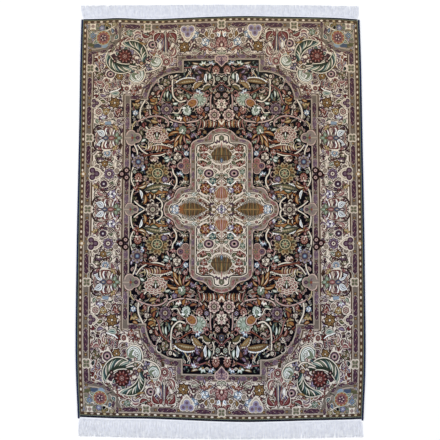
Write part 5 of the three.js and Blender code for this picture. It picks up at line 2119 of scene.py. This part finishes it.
# Each piece of pile: name, its part of the chart, seed, the ends it covers.
pile = [lay_cloth(name, cut, PILE_TOP, BACK_TOP, seed, ends) for name, cut, seed, ends in (
    ("field_pile_far", field_cut, 21, (1,)),
    ("field_pile_near", field_cut, 22, (-1,)),
    ("border_pile_far", border_cut, 23, (1,)),
    ("border_pile_near", border_cut, 24, (-1,)),
    ("medallion_pile", cut_chart(chart, middle_part), 20, (1, -1)),
    ("guard_pile", cut_chart(chart, guard_part), 25, (1, -1)),
)]
back_cut = cut_chart(chart, bar(0, 0, CHART_U, CHART_V), BACK_LEAST)
back = lay_cloth("rug_back", back_cut, 0.0, BACK_TOP - SEAM, 26)
for piece in pile:
    piece.data.materials.append(silk)
back.data.materials.append(backing)

# the twist's painted groove shade is 0.22 on the navy cord and the end band, 0.05 on the warp
navy_yarn = yarn_finish("navy overcast wool", (14, 22, 48), (34, 46, 82), 0.7, 0.2, 700, 0.0003)
band_yarn = yarn_finish("dark end band", (10, 12, 24), (28, 32, 52), 0.75, 0.15, 800, 0.0003)
warp_yarn = yarn_finish("bared cotton warp", (226, 229, 240), (240, 242, 249), 0.8, 0.05, 900, 0.0001,
                        "yarn", 0.05)

trimmings = []
for side, which in ((-1, "left"), (1, "right")):
    y_low = float(end_y("bottom", side * CORNER_X)) - SELVEDGE_PAST["bottom"]
    y_high = float(end_y("top", side * CORNER_X)) + SELVEDGE_PAST["top"]
    y = np.linspace(y_low, y_high, 300)
    cord_path = np.column_stack([side_x(side, y, SELVEDGE_WIDTH / 2), y])
    cord = corded("selvedge_cord_" + which, cord_path, SELVEDGE_WIDTH, SELVEDGE_HEIGHT, CORD_PITCH, 0.16,
                  "selvedge_" + which, sides=8, rows=1)
    cord.data.materials.append(navy_yarn)
    trimmings.append(cord)
for end, seed in (("top", 31), ("bottom", 32)):
    line = end_line(end, BAND_WIDTH[end] / 2)
    band = corded("end_band_" + end + "_twined", line, BAND_WIDTH[end], BAND_HEIGHT, BAND_PITCH, 0.14,
                  "end_band_" + end, sides=10, rows=2)
    band.data.materials.append(band_yarn)
    yarns = fringe(end, seed)
    yarns.data.materials.append(warp_yarn)
    trimmings += [band, yarns]

# ---- The floor, the light and the view ----

FLOOR_REACH = 9.0
FLOOR_DROP = 0.0005
floor_mesh = bpy.data.meshes.new("floor")
corners = [(x * FLOOR_REACH, y * FLOOR_REACH, 0) for x, y in ((-1, -1), (1, -1), (1, 1), (-1, 1))]
floor_mesh.from_pydata(corners, [], [(0, 1, 2, 3)])
floor = bpy.data.objects.new("floor", floor_mesh)
bpy.context.scene.collection.objects.link(floor)
floor.location.z = -FLOOR_DROP
floor_paint, tree, shader = finish_of("pale floor", 0.9, 0)
pale = blended(tree, noise(tree, places(tree), 1.5), (248, 249, 252), (252, 252, 253))
tree.links.new(pale, shader.inputs["Base Color"])
floor.data.materials.append(floor_paint)

world = bpy.data.worlds.new("studio")
bpy.context.scene.world = world
world.use_nodes = True
sky = world.node_tree.nodes["Background"].inputs
sky["Color"].default_value = (0.97, 0.985, 1, 1)
sky["Strength"].default_value = 0.95

LAMP_PLACE = (-0.6, 0.35, 3.6)  # it faces the middle of the rug
light = bpy.data.lights.new("soft overhead", "AREA")
light.shape = "RECTANGLE"
light.size, light.size_y = 3.2, 2.4
light.energy = 33
light.color = (1, 0.99, 0.97)
lamp = bpy.data.objects.new("soft overhead", light)
bpy.context.scene.collection.objects.link(lamp)
lamp.location = LAMP_PLACE
lamp.rotation_euler = (-Vector(LAMP_PLACE)).to_track_quat("-Z", "Y").to_euler()

VIEW_TILT = 0.0449
VIEW_AIM = (-0.003, -0.0085)
VIEW_DISTANCE = 3.2
lens = bpy.data.cameras.new("camera")
lens.sensor_width = 36
lens.lens = 49.03
camera = bpy.data.objects.new("camera", lens)
bpy.context.scene.collection.objects.link(camera)
camera.location = (VIEW_AIM[0], VIEW_AIM[1] - VIEW_DISTANCE * math.sin(VIEW_TILT),
                   VIEW_DISTANCE * math.cos(VIEW_TILT))
camera.rotation_euler = (VIEW_TILT, 0, 0)
bpy.context.scene.camera = camera
bpy.context.scene.view_settings.view_transform = "Standard"
